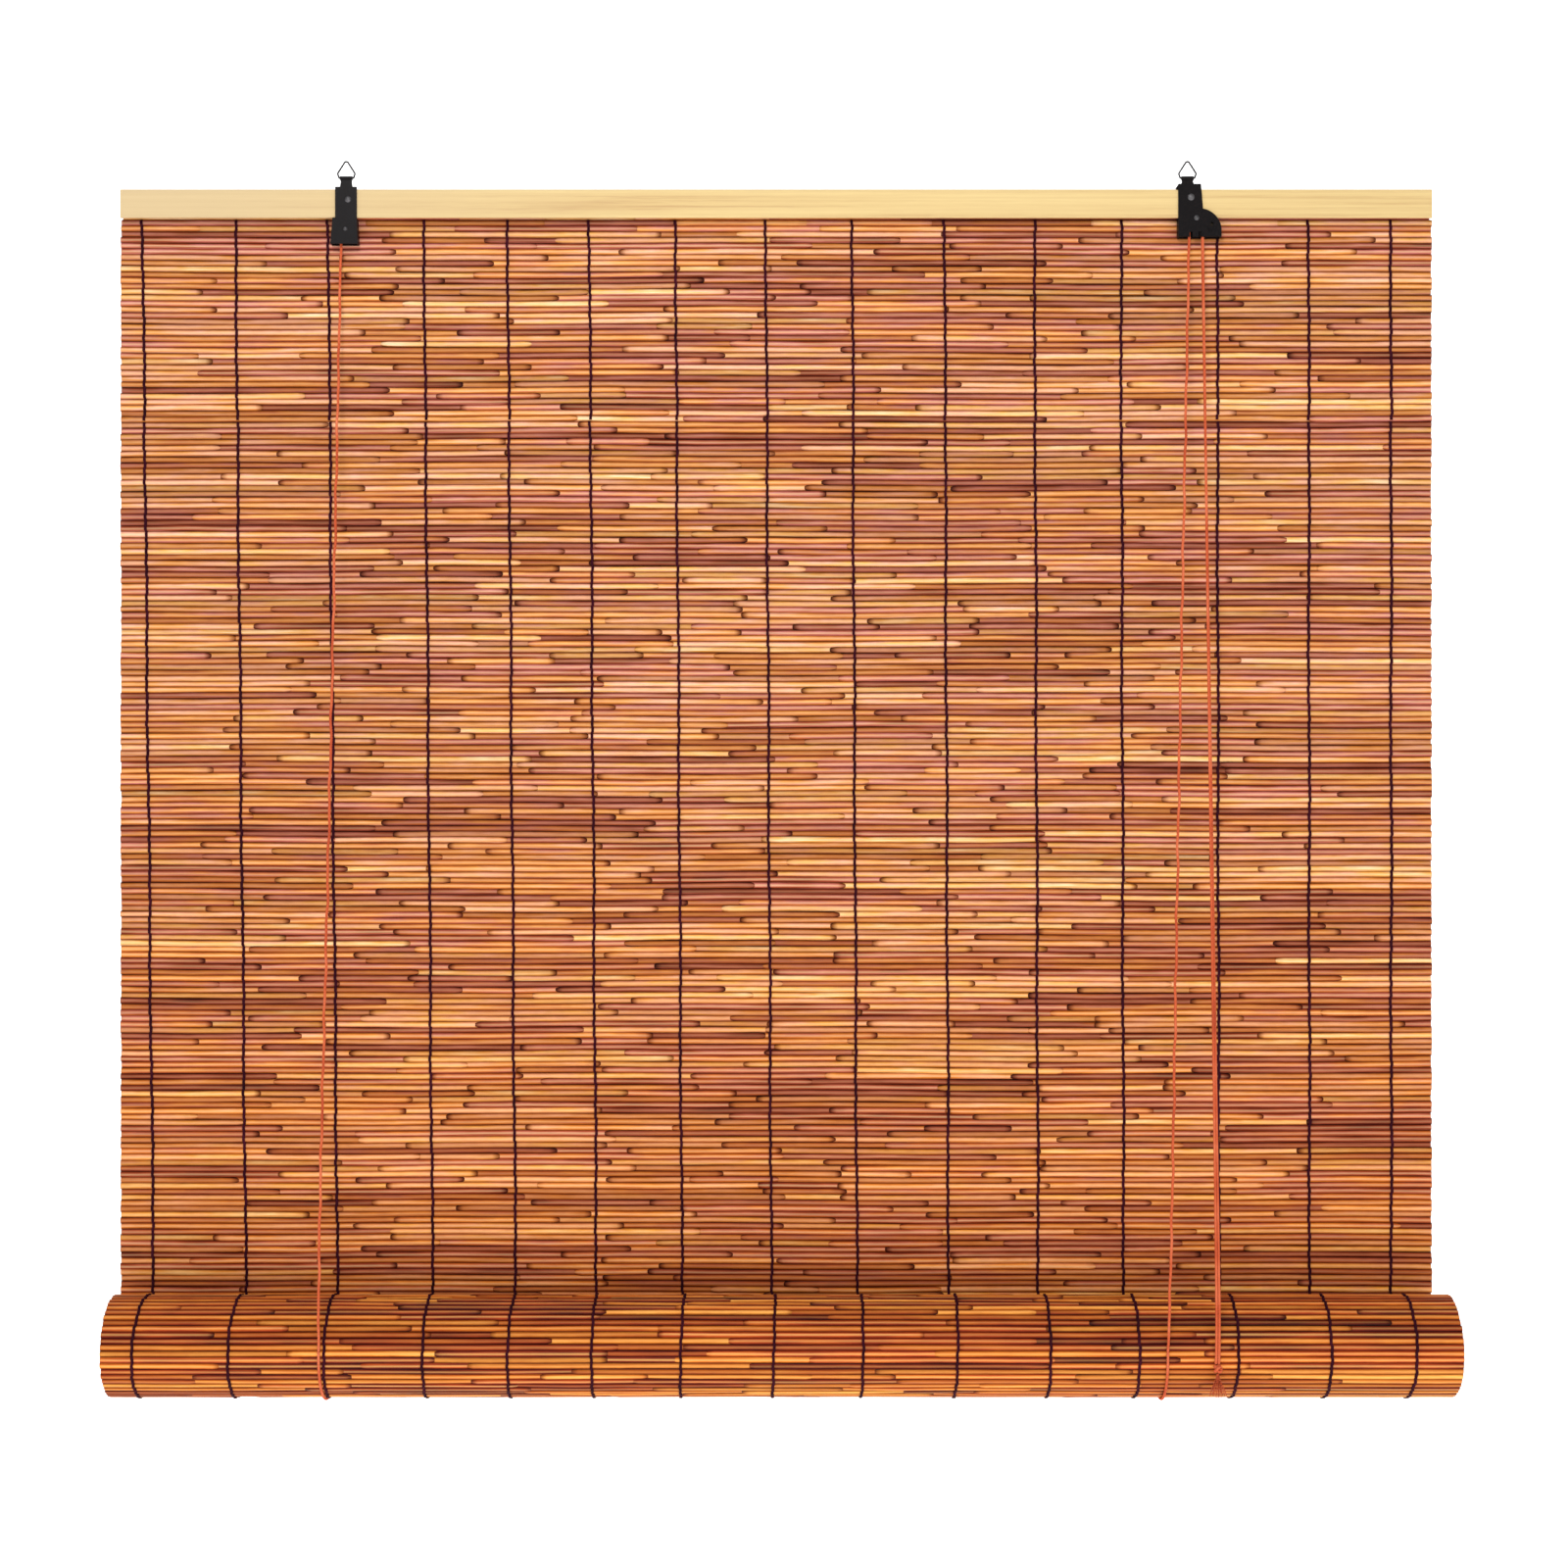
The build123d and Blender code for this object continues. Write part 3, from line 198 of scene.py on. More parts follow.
class Finish:
    """A material with a Principled shader, built one node at a time."""

    def __init__(self, name, **constants):
        self.material = bpy.data.materials.new(name)
        self.material.use_nodes = True
        self.tree = self.material.node_tree
        self.shader = self.tree.nodes["Principled BSDF"]
        for socket, number in constants.items():
            self.shader.inputs[socket.replace("_", " ")].default_value = number

    def node(self, kind, settings=None, inputs=None):
        """Adds a node: its settings first, then numbers, colours or links for its sockets."""
        node = self.tree.nodes.new(kind)
        for key, setting in (settings or {}).items():
            if key == "stops":
                self.fill_ramp(node.color_ramp, setting)
            else:
                setattr(node, key, setting)
        for key, given in (inputs or {}).items():
            self.feed(node.inputs[key], given)
        return node

    def feed(self, socket, given):
        if isinstance(given, Value):
            self.tree.links.new(given.socket, socket)
        else:
            socket.default_value = given

    def fill_ramp(self, ramp, stops):
        while len(ramp.elements) < len(stops):
            ramp.elements.new(0.5)
        for element, (place, colour) in zip(ramp.elements, stops):
            element.position = place
            element.color = (*colour, 1)

    def value(self, kind, output, settings=None, inputs=None):
        return Value(self, self.node(kind, settings, inputs).outputs[output])

    def ramp(self, factor, stops):
        return self.value("ShaderNodeValToRGB", "Color", {"stops": stops}, {"Fac": factor})

    def blend(self, factor, a, b, how="MIX"):
        """Colour mix of a and b, which are links or (r, g, b)."""
        settings = {"data_type": "RGBA", "blend_type": how}
        a, b = ((*c, 1) if isinstance(c, tuple) else c for c in (a, b))
        node = self.node("ShaderNodeMix", settings)
        for socket, given in zip((node.inputs[0], node.inputs[6], node.inputs[7]), (factor, a, b)):
            self.feed(socket, given)
        return Value(self, node.outputs[2])

    def noise(self, place, scale, detail=3.0):
        inputs = {"Vector": place, "Scale": scale, "Detail": detail}
        return self.value("ShaderNodeTexNoise", "Fac", None, inputs)

    def place(self, scale=(1, 1, 1), source="Object"):
        """Texture coordinate, stretched by scale."""
        coordinate = self.value("ShaderNodeTexCoord", source)
        settings = {"operation": "MULTIPLY"}
        return self.value("ShaderNodeVectorMath", "Vector", settings, {0: coordinate, 1: scale})

    def bump(self, height, distance, strength=1.0):
        inputs = {"Height": height, "Distance": distance, "Strength": strength}
        return self.value("ShaderNodeBump", "Normal", None, inputs)

    def show(self, **links):
        for socket, given in links.items():
            self.feed(self.shader.inputs[socket.replace("_", " ")], given)
        return self.material


print("shader helpers ready")

# %% [markdown]
# ## Reeds
#
# Each reed row is several natural sticks laid end to end. Where one ends, it tapers, darkens at the cut and
# laps in front of or behind the next. The mesh stores four numbers at each point for the finish to read: the
# stick's tone, its lightness, how near the tip is, and how far round from the flat face of the mat it lies.


# %% Tubes with stored numbers
class TubeMesh:
    """Gathers many tubes in one mesh, with a colour attribute and a map along and around each."""

    def __init__(self):
        self.points = []
        self.faces = []
        self.tints = []
        self.maps = []
        self.count = 0

    def add(self, centres, side, up, radii, tints, along):
        """Skins rings round centres; side and up point across the tube, radii is rings by corners."""
        rings, corners = radii.shape
        angles = np.linspace(0, 2 * math.pi, corners, endpoint=False)
        ring_shape = radii[:, :, None] * (
            np.cos(angles)[None, :, None] * side[:, None, :] + np.sin(angles)[None, :, None] * up[:, None, :]
        )
        points = (centres[:, None, :] + ring_shape).reshape(-1, 3)
        first = self.count
        index = first + np.arange(rings * corners).reshape(rings, corners)
        turned = np.roll(index, -1, axis=1)
        quads = np.stack([index[:-1], turned[:-1], turned[1:], index[1:]], axis=-1).reshape(-1, 4)
        around = np.broadcast_to(np.arange(corners) / corners, (rings, corners))
        self.points.append(points)
        self.faces.append(quads)
        self.tints.append(tints.reshape(-1, 4))
        lengthwise = np.broadcast_to(along[:, None], (rings, corners))
        self.maps.append(np.stack([lengthwise, around], axis=-1).reshape(-1, 2))
        self.count += rings * corners
        self.cap(index[0][::-1])
        self.cap(index[-1])

    def cap(self, ring):
        """Closes a ring with quads across it."""
        corners = len(ring)
        for i in range(corners // 2 - 1):
            quad = [ring[i], ring[i + 1], ring[corners - 2 - i], ring[corners - 1 - i]]
            self.faces.append(np.array([quad]))

    def make(self, name, material):
        """One smooth-shaded object."""
        points = np.concatenate(self.points)
        faces = np.concatenate(self.faces)
        mesh = bpy.data.meshes.new(name)
        mesh.from_pydata(points.tolist(), [], faces.tolist())
        tint = mesh.color_attributes.new("stick", "FLOAT_COLOR", "POINT")
        tint.data.foreach_set("color", np.concatenate(self.tints).astype(np.float32).ravel())
        layer = mesh.uv_layers.new(name="along")
        maps = np.concatenate(self.maps)
        layer.data.foreach_set("uv", maps[faces.ravel()].astype(np.float32).ravel())
        mesh.shade_smooth()
        mesh.materials.append(material)
        piece = bpy.data.objects.new(name, mesh)
        bpy.context.scene.collection.objects.link(piece)
        print(f"{name}: {len(faces) * 2} triangles")
        return piece


# %% One row of sticks
CORNERS = 8
LAP = 16 * MM
TIP_OFFSET = 1.0 * MM
TIP_REACH = 30 * MM
TAPER_LENGTH = 5 * MM
FADE_LENGTH = 7 * MM
RING_SPACING = 45 * MM
FLATNESS = 1.25
SHOWN_LENGTHS = (0.06, 0.27)
MAT_STAND_OUT = 2.2 * MM
SHOWN_CUTS = (*SHOWN_LENGTHS, 0.0, MAT_STAND_OUT)
wave_phases = rng.uniform(0, 2 * math.pi, 6)


def wander(x, row):
    """Slow rise and fall that neighbouring rows share, and a little of each row's own."""
    shared = 0.4 * np.sin(9 * x + wave_phases[0] + row * 0.05)
    shared = shared + 0.25 * np.sin(23 * x + wave_phases[1] + row * 0.11)
    own = 0.16 * np.sin(41 * x + row * 2.4) + 0.1 * np.sin(73 * x + row * 5.1)
    return (shared + own) * MM


def cut_lengths(shortest, longest, shift, stand_out):
    """Places of the joints along one row, which stands out a little past the rail's ends."""
    left = LEFT + shift - rng.uniform(0.6, 1.2) * stand_out
    right = RIGHT + shift + rng.uniform(0.6, 1.2) * stand_out
    places = [left]
    while right - places[-1] > longest:
        places.append(places[-1] + rng.uniform(shortest, longest))
    if right - places[-1] < shortest / 2:
        places.pop()
    return places + [right]


def ring_places(start, end):
    """Rings crowd at a stick's two ends, where it tapers."""
    near = np.array([0, 0.9, 2.8, 7.0]) * MM
    middle_count = max(2, round((end - start) / RING_SPACING))
    middle = np.linspace(start + LAP, end - LAP, middle_count)
    return np.concatenate([start + near, middle, end - near[::-1]])


def add_row(tubes, row, middle, outward, upward, cuts=SHOWN_CUTS, wave=1.0, laps=(1.0, 1.0), probes=None):
    """Lays one row of sticks along X. outward points off the mat's face, upward along the mat.

    laps is how far tips lie (in front, behind), as shares of TIP_OFFSET. Returns, where the threads cross at
    probes, how far the row reaches in front, how far behind, and how high it has wandered.
    """
    places = cut_lengths(*cuts)
    probes = np.zeros(0) if probes is None else probes
    front, behind = np.full(len(probes), REED), np.full(len(probes), REED)
    height = np.zeros(len(probes))
    sign = rng.choice([-1, 1])
    for i, (start, end) in enumerate(zip(places[:-1], places[1:])):
        next_sign = rng.choice([-1, 1])
        left = start - (LAP / 2 if i else 0)
        right = end + (LAP / 2 if i < len(places) - 2 else 0)
        x = ring_places(left, right)
        size = REED * rng.uniform(0.93, 1.03)
        from_end = np.minimum(x - left if i else 1, right - x if i < len(places) - 2 else 1)
        taper = 0.5 + 0.5 * np.clip(from_end / TAPER_LENGTH, 0, 1) ** 0.6
        uneven = 1 + 0.035 * np.sin(x * rng.uniform(60, 120) + rng.uniform(0, 6))
        uneven += rng.uniform(-0.09, 0.09) * (2 * (x - left) / (right - left) - 1) * wave
        radii = (size * taper * uneven)[:, None] * np.ones(CORNERS)
        offset = np.zeros(len(x))
        if i:
            lifted = sign * TIP_OFFSET * laps[int(sign < 0)]
            offset += lifted * np.clip(1 - (x - left) / TIP_REACH, 0, 1)
        if i < len(places) - 2:
            lifted = next_sign * TIP_OFFSET * laps[int(next_sign > 0)]
            offset -= lifted * np.clip(1 - (right - x) / TIP_REACH, 0, 1)
        bow = rng.uniform(-0.4, 0.4) * MM * wave * np.sin(math.pi * (x - left) / (right - left))
        rise = wander(x, row) * wave + bow
        centres = np.zeros((len(x), 3))
        centres[:, 0] = x
        centres += np.outer(offset, outward) + np.outer(rise, upward) + middle
        tone, light = rng.uniform(0, 1), rng.uniform(0, 1)
        tip = np.clip(1.2 - from_end / FADE_LENGTH, 0, 1) * rng.choice([0.2, 0.8, 1.0])
        tints = np.zeros((len(x), CORNERS, 4))
        tints[..., 0] = tone
        tints[..., 1] = light
        tints[..., 2] = tip[:, None]
        corner_angles = np.linspace(0, 2 * math.pi, CORNERS, endpoint=False)
        # How far round from the mat's face: the finish paints shade into the valleys between rows and a highlight
        # down each stick from this.
        tints[..., 3] = np.abs(np.sin(corner_angles))[None, :]
        side = np.broadcast_to(outward, (len(x), 3))
        up = np.broadcast_to(upward * FLATNESS, (len(x), 3))
        tubes.add(centres, side, up, radii, tints, x - left + rng.uniform(0, 5))
        crossed = (probes >= left) & (probes <= right)
        depth = np.interp(probes, x, offset)
        thick = np.interp(probes, x, radii[:, 0])
        front = np.where(crossed, np.maximum(depth + thick, np.where(front == REED, 0, front)), front)
        behind = np.where(crossed, np.maximum(thick - depth, np.where(behind == REED, 0, behind)), behind)
        height = np.where(crossed, np.interp(probes, x, rise), height)
        sign = next_sign
    return front, behind, height


print(f"laps of {LAP / MM:.0f} mm, {CORNERS} corners round a stick")

# %% [markdown]
# ### The reeds' finish
#
# Peeled reed is golden, tan, pink or mauve brown, and each stick keeps its own tone. The colour comes from
# the stored tone, streaked along the stick by stretched noise and darkened at the cut tips. Shade is painted
# into the valleys between rows and a pale highlight down the middle of each stick, and the hanging mat gets a
# painted light tint by height. The rolled part is deeper and more orange.


# %% Reed finish
def stored(finish, index):
    """One of the four numbers that the reeds' mesh stores."""
    attribute = finish.node("ShaderNodeAttribute", {"attribute_name": "stick"})
    if index == 3:
        return Value(finish, attribute.outputs["Alpha"])
    parts = finish.node("ShaderNodeSeparateColor", None, {"Color": Value(finish, attribute.outputs["Color"])})
    return Value(finish, parts.outputs[index])


def reed_finish(name, stops, valley_shade_depth, top_light_tint, foot_light_tint, gloss, highlight_strength, highlight_colour):
    """Peeled reed: stops are its tones; the number after them is how deep the painted shade between rows is.

    The two tints after it paint a light tint into the colour, at the rail and towards the roll. gloss is the
    least roughness. The last two are the strength and colour of the painted highlight down each stick.
    """
    finish = Finish(name, Specular_IOR_Level=0.1)
    tone, light, tip, valley = (stored(finish, i) for i in range(4))
    streak = finish.noise(finish.place((90, 5, 1), "UV"), 1.0, 4.0)
    patch = finish.noise(finish.place((14, 2, 1), "UV"), 1.0, 2.0)
    colour = finish.ramp((tone * 0.75 + patch * 0.9 - 0.33).clamp(), stops)
    shade = (light * 0.56 + 0.45) * (streak * 0.6 + 0.7)
    # Painted shade: the colour darkens towards the valleys between rows.
    depth = valley_shade_depth * (1.06 - light * 0.34)
    shade = shade * (1 - valley.step(0.32, 0.88) * depth).clamp() * (1 - tip * 0.88)
    channels = {"Red": shade**0.85, "Green": shade**1.15, "Blue": shade**1.5}
    warm_shade = finish.value("ShaderNodeCombineColor", "Color", None, channels)
    colour = finish.blend(1.0, colour, warm_shade, "MULTIPLY")
    # Painted light tint: the colour shifts by height, bluer at the rail and more orange towards the roll.
    height = finish.node("ShaderNodeSeparateXYZ", None, {"Vector": finish.place()})
    low_down = Value(finish, height.outputs["Z"]).step(RAIL_FOOT - 0.35 * DROP, ROLL_Z)
    colour = finish.blend(1.0, colour, finish.blend(low_down, top_light_tint, foot_light_tint), "MULTIPLY")
    # Painted highlight: a pale colour laid down the middle of each stick, away from the valleys and cut tips.
    painted_highlight_mask = (1 - valley.step(0.05, 0.45)) * (light * 0.4 + 0.1) * (1 - tip)
    colour = finish.blend(painted_highlight_mask * highlight_strength, colour, highlight_colour)
    return finish.show(
        Base_Color=colour,
        Roughness=(streak * 0.25 + gloss),
        Normal=finish.bump(streak, 0.15 * MM, 0.6),
    )


hanging_tones = [
    (0.0, (0.20, 0.030, 0.010)),
    (0.15, (0.38, 0.080, 0.028)),
    (0.28, (0.53, 0.17, 0.14)),
    (0.40, (0.60, 0.18, 0.045)),
    (0.55, (0.76, 0.31, 0.055)),
    (0.70, (0.82, 0.41, 0.27)),
    (0.84, (0.84, 0.43, 0.085)),
    (1.0, (0.96, 0.72, 0.44)),
]
rolled_tones = [
    (0.0, (0.09, 0.006, 0.003)),
    (0.22, (0.24, 0.022, 0.006)),
    (0.42, (0.52, 0.075, 0.014)),
    (0.66, (0.74, 0.20, 0.018)),
    (1.0, (0.98, 0.44, 0.08)),
]
# Painted light tints for the rail end and the foot of the hanging mat; the roll's are plain white.
mat_light_tints = ((1.02, 0.98, 1.08), (1.02, 0.75, 0.43))
roll_light_tints = ((1.0, 1.0, 1.0), (1.0, 1.0, 1.0))
# After the tones: depth of the painted valley shade; after the tints: least roughness, then strength and colour of
# the painted highlight.
hanging_reed = reed_finish("peeled_reed", hanging_tones, 0.93, *mat_light_tints, 0.45, 0.6, (1.0, 0.78, 0.42))
rolled_reed = reed_finish("rolled_reed", rolled_tones, 0.96, *roll_light_tints, 0.35, 1.0, (1.0, 0.55, 0.17))
print("reed finishes ready")

# %% [markdown]
# ### Hanging mat
#
# When the blind is raised, the lower rows wind on to the roll and the top rows stay as they are. So the mat
# is three pieces: the still rows at the top, and two winding pieces below them.

# %% Rows of the hanging mat
FACE = np.array([0.0, -1.0, 0.0])
UP = np.array([0.0, 0.0, 1.0])
row_count = round(DROP / PITCH)
still_rows = int(STILL_DROP / PITCH)
moving_rows = row_count - still_rows
STILL_FOOT = RAIL_FOOT - still_rows * PITCH
bands = {
    "still_reeds": (0, still_rows),
    "winding_reeds_high": (still_rows, still_rows + moving_rows // 2),
    "winding_reeds_low": (still_rows + moving_rows // 2, row_count),
}
strips = np.unique(np.round([v.co.x for v in frame["nodes"]["hanging_threads"].data.vertices], 5))
thread_tops = (strips[::2] + strips[1::2]) / 2
THREAD_LEAN = 11 * MM


def thread_x(share):
    """The threads lean in from the left edge on the way down: share is 0 at the rail and 1 at the roll."""
    return thread_tops + THREAD_LEAN * share * (RIGHT - thread_tops) / (RIGHT - LEFT)


mat_pieces = {}
crossings = []
for name, (first, last) in bands.items():
    tubes = TubeMesh()
    for row in range(first, last):
        fade = min(1, (row_count - row) / 8, (row + 1) / 6)
        middle = np.array([0, MAT_Y, RAIL_FOOT - PITCH * (row + 0.5)])
        probes = thread_x(row / row_count)
        reach = add_row(tubes, row, middle, FACE, UP, wave=fade, laps=(fade, fade), probes=probes)
        crossings.append((middle, probes, *reach))
    mat_pieces[name] = tubes.make(name, hanging_reed)
    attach(mat_pieces[name], "rail")
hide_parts("hanging_mat")
print(f"{row_count} rows, {still_rows} of them still")

# %% Top rows clamped in the rail
CLAMPED_ROWS = 5
CLAMPED_CUTS = (*SHOWN_LENGTHS, 0.0, 0.0)
tubes = TubeMesh()
for row in range(CLAMPED_ROWS):
    middle_z = head_low[2] + REED + (head_high[2] - head_low[2] - 2 * REED) * row / (CLAMPED_ROWS - 1)
    middle = np.array([0, MAT_Y, middle_z])
    add_row(tubes, row, middle, FACE, UP, CLAMPED_CUTS, wave=0.1, laps=(0, 0))
clamped_reeds = tubes.make("clamped_reeds", hanging_reed)
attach(clamped_reeds, "rail")
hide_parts("mat_head")

# %% [markdown]
# ### Rolled mat
#
# The roll is a spiral of half turns, each half a pitch smaller than the last. The outer rows are laid with as
# much care as the hanging ones; the inner ones only show at the ends of the roll.


# %% Rows of the roll
def half_turns(count):
    """(middle's y, radius, start angle) of each half turn, outside in."""
    turns = []
    rear = MAT_Y
    front = MAT_Y
    for i in range(count):
        radius = ROLL_RADIUS - i * TURN_PITCH / 2
        if i % 2 == 0:
            centre = rear - radius
            front = rear - 2 * radius
        else:
            centre = front + radius
            rear = front + 2 * radius
        turns.append((centre, radius, -math.pi * i))
    return turns


def along_spiral(count, start, step):
    """(middle, outward, upward) at even steps along the spiral."""
    places = []
    along = start
    for centre, radius, first_angle in half_turns(count):
        while along < math.pi * radius:
            angle = first_angle - along / radius
            outward = np.array([0, math.cos(angle), math.sin(angle)])
            upward = np.array([0, -math.sin(angle), math.cos(angle)])
            places.append((np.array([0, centre, ROLL_Z]) + radius * outward, outward, upward))
            along += step
        along -= math.pi * radius
    return places


HALF_TURNS = 11
SHOWN_ROWS = 76
HIDDEN_LENGTHS = (0.5, 0.9)
ROLL_DRIFT = 5 * MM
ROLL_STAND_OUT = 1.5 * MM
FIRST_ROW_GAP = 0.4 * MM
ROLL_WAVE = 0.4
ROLL_LAPS = (0.3, 0.9)
tubes = TubeMesh()
spiral = along_spiral(HALF_TURNS, PITCH / 2 + FIRST_ROW_GAP, PITCH)
roll_crossings = []
for row, (middle, outward, upward) in enumerate(spiral):
    lengths = SHOWN_LENGTHS if row < SHOWN_ROWS else HIDDEN_LENGTHS
    cuts = (*lengths, ROLL_DRIFT, ROLL_STAND_OUT)
    probes = thread_x(1 + row / SHOWN_ROWS)
    number = row + row_count
    front, _, height = add_row(
        tubes, number, middle, outward, upward, cuts, wave=ROLL_WAVE, laps=ROLL_LAPS, probes=probes
    )
    roll_crossings.append((middle, outward, upward, probes, front, height))
roll_reeds = tubes.make("roll_reeds", rolled_reed)
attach(roll_reeds, "roll")
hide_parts("rolled_mat")
print(f"{len(spiral)} rows in the roll")

# %% [markdown]
# ### Threads
#
# A dark doubled thread goes over and under every row, so from the front it is a line of small knobs that
# narrows between the reeds. Each thread is a flat tube with three rings a row: one sunk between two rows and
# two on the crest. It follows the reach of the very sticks that it crosses.


# %% Thread finish
def thread_finish():
    """Dark maroon cotton with a fine twist."""
    finish = Finish("binding_thread", Specular_IOR_Level=0.1, Roughness=0.9)
    fuzz = finish.noise(finish.place((1, 1, 1)), 900.0, 2.0)
    patch = finish.noise(finish.place((1, 1, 1)), 60.0, 2.0)
    stops = [
        (0.25, (0.010, 0.001, 0.003)),
        (0.55, (0.030, 0.002, 0.008)),
        (0.8, (0.075, 0.008, 0.020)),
    ]
    colour = finish.ramp(patch * 0.6 + fuzz * 0.4, stops)
    return finish.show(Base_Color=colour, Normal=finish.bump(fuzz, 0.3 * MM))


thread_material = thread_finish()
THREAD_HALF_WIDTH = 2.8 * MM
THREAD_HALF_DEPTH = 0.75 * MM
THREAD_CORNERS = 6
SINK = 0.35 * MM
STAND_OFF = 0.25 * MM
THREAD_RINGS = ((-0.5, -SINK, 0.8), (-0.2, STAND_OFF, 1.0), (0.2, STAND_OFF, 1.0))


def lay_thread(tubes, rows):
    """One thread along rows of (middle, outward, upward, x, reach, rise)."""
    centres, sides, ups, widths = [], [], [], []
    sway = rng.uniform(0, 6, 2)
    for number, (middle, outward, upward, x, reach, rise) in enumerate(rows):
        wobble = 0.35 * MM * math.sin(number * 0.9 + sway[0]) + 0.5 * MM * math.sin(number * 0.13 + sway[1])
        side_step = 0.25 * MM * (1 if number % 2 else -1)
        for share, depth, wide in THREAD_RINGS:
            centre = middle + upward * (rise - share * PITCH) + outward * (reach + depth)
            centre[0] = x + wobble + side_step
            centres.append(centre)
            sides.append(outward)
            ups.append(np.array([1.0, 0, 0]))
            widths.append(THREAD_HALF_WIDTH * wide * rng.uniform(0.85, 1.12))
    corners = np.linspace(0, 2 * math.pi, THREAD_CORNERS, endpoint=False)
    widths = np.array(widths)[:, None]
    flat = THREAD_HALF_DEPTH * np.ones_like(widths)
    radii = (widths * flat) / np.hypot(widths * np.cos(corners), flat * np.sin(corners))
    tints = np.zeros((len(centres), THREAD_CORNERS, 4))
    along = np.arange(len(centres)) * PITCH / len(THREAD_RINGS)
    tubes.add(np.array(centres), np.array(sides), np.array(ups), radii, tints, along)


# %% Threads of the hanging mat
BARE_ROWS = 2
thread_bands = {"still_threads": (0, still_rows), "winding_threads": (still_rows, row_count)}
thread_pieces = {}
for name, (first, last) in thread_bands.items():
    tubes = TubeMesh()
    for i in range(len(thread_tops)):
        for outward, bare_rows in ((FACE, BARE_ROWS), (-FACE, 0)):
            rows = []
            for middle, probes, front, behind, height in crossings[first : min(last, row_count - bare_rows)]:
                reach = front if outward is FACE else behind
                rows.append((middle, outward, UP, probes[i], reach[i], height[i]))
            lay_thread(tubes, rows)
    thread_pieces[name] = tubes.make(name, thread_material)
    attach(thread_pieces[name], "rail")
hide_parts("hanging_threads")

# %% Threads of the roll
THREADED_ROWS = 40
tubes = TubeMesh()
for i in range(len(thread_tops)):
    rows = []
    for middle, outward, upward, probes, front, height in roll_crossings[:THREADED_ROWS]:
        rows.append((middle, outward, upward, probes[i], front[i], height[i]))
    lay_thread(tubes, rows)
roll_threads = tubes.make("roll_threads", thread_material)
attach(roll_threads, "roll")
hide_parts("rolled_threads")

# %% [markdown]
# ### Winding up
#
# Raising the blind takes the lower rows off the hanging length. Here the winding pieces only get meshes of
# their own.

# %% Own meshes for the winding pieces
winding_reeds = [mat_pieces["winding_reeds_high"], mat_pieces["winding_reeds_low"]]
for piece in (*winding_reeds, thread_pieces["winding_threads"]):
    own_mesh(piece)
print(f"rows below {STILL_FOOT:.3f} m wind on to the roll")

# %% [markdown]
# ## Cords
#
# The lift cords are thin laid cotton, three strands twisted together. A tube whose section has three lobes,
# turned a little at every ring, gives that twist real geometry. The pull strands and tassel strands follow
# smooth NURBS curves through a few route points; the runs and slings follow lines worked out point by point.


# %% Cord finish and tube
def cord_finish():
    """Orange-red cotton: paler, dustier high spots and deep colour between the strands."""
    finish = Finish("lift_cord", Roughness=0.75, Specular_IOR_Level=0.2)
    fibre = finish.noise(finish.place((1, 1, 1)), 1400.0, 2.0)
    patch = finish.noise(finish.place((1, 1, 1)), 35.0, 3.0)
    stops = [(0.3, (0.40, 0.05, 0.018)), (0.5, (0.58, 0.10, 0.032)), (0.72, (0.74, 0.20, 0.09))]
    colour = finish.ramp(patch * 0.7 + fibre * 0.3, stops)
    return finish.show(Base_Color=colour, Normal=finish.bump(fibre, 0.2 * MM))


cord_material = cord_finish()
CORD = 0.9 * MM
LOBE_CREST = 1.3 * MM
LAY_LENGTH = 7 * MM
LOBES = 3
LOBE_DEPTH = 0.18
CORD_CORNERS = 12


def smooth_route(name, points, samples=40):
    """Points read from a NURBS curve with those control points."""
    data = bpy.data.curves.new(name, "CURVE")
    data.dimensions = "3D"
    spline = data.splines.new("NURBS")
    spline.points.add(len(points) - 1)
    for control, point in zip(spline.points, points):
        control.co = (*point, 1)
    spline.order_u = 3
    spline.use_endpoint_u = True
    data.resolution_u = samples
    holder = bpy.data.objects.new(name, data)
    bpy.context.scene.collection.objects.link(holder)
    bpy.context.view_layer.update()
    evaluated = holder.evaluated_get(bpy.context.evaluated_depsgraph_get())
    line = bpy.data.meshes.new_from_object(evaluated)
    read = np.array([v.co for v in line.vertices])
    bpy.data.objects.remove(holder)
    return read


def even_steps(line, step):
    """The same line with points a step apart."""
    lengths = np.concatenate([[0], np.cumsum(np.linalg.norm(np.diff(line, axis=0), axis=1))])
    count = max(2, round(lengths[-1] / step) + 1)
    along = np.linspace(0, lengths[-1], count)
    return np.stack([np.interp(along, lengths, line[:, k]) for k in range(3)], axis=1), along


def carried_frame(points):
    """Two unit vectors across the line at each point, turning as little as they can."""
    tangents = np.gradient(points, axis=0)
    tangents /= np.linalg.norm(tangents, axis=1)[:, None]
    across = np.cross(tangents[0], (1.0, 0.0, 0.0))
    if np.linalg.norm(across) < 0.1:
        across = np.cross(tangents[0], (0.0, 1.0, 0.0))
    sides = []
    for tangent in tangents:
        across = across - tangent * np.dot(across, tangent)
        across /= np.linalg.norm(across)
        sides.append(across)
    sides = np.array(sides)
    return sides, np.cross(tangents, sides)


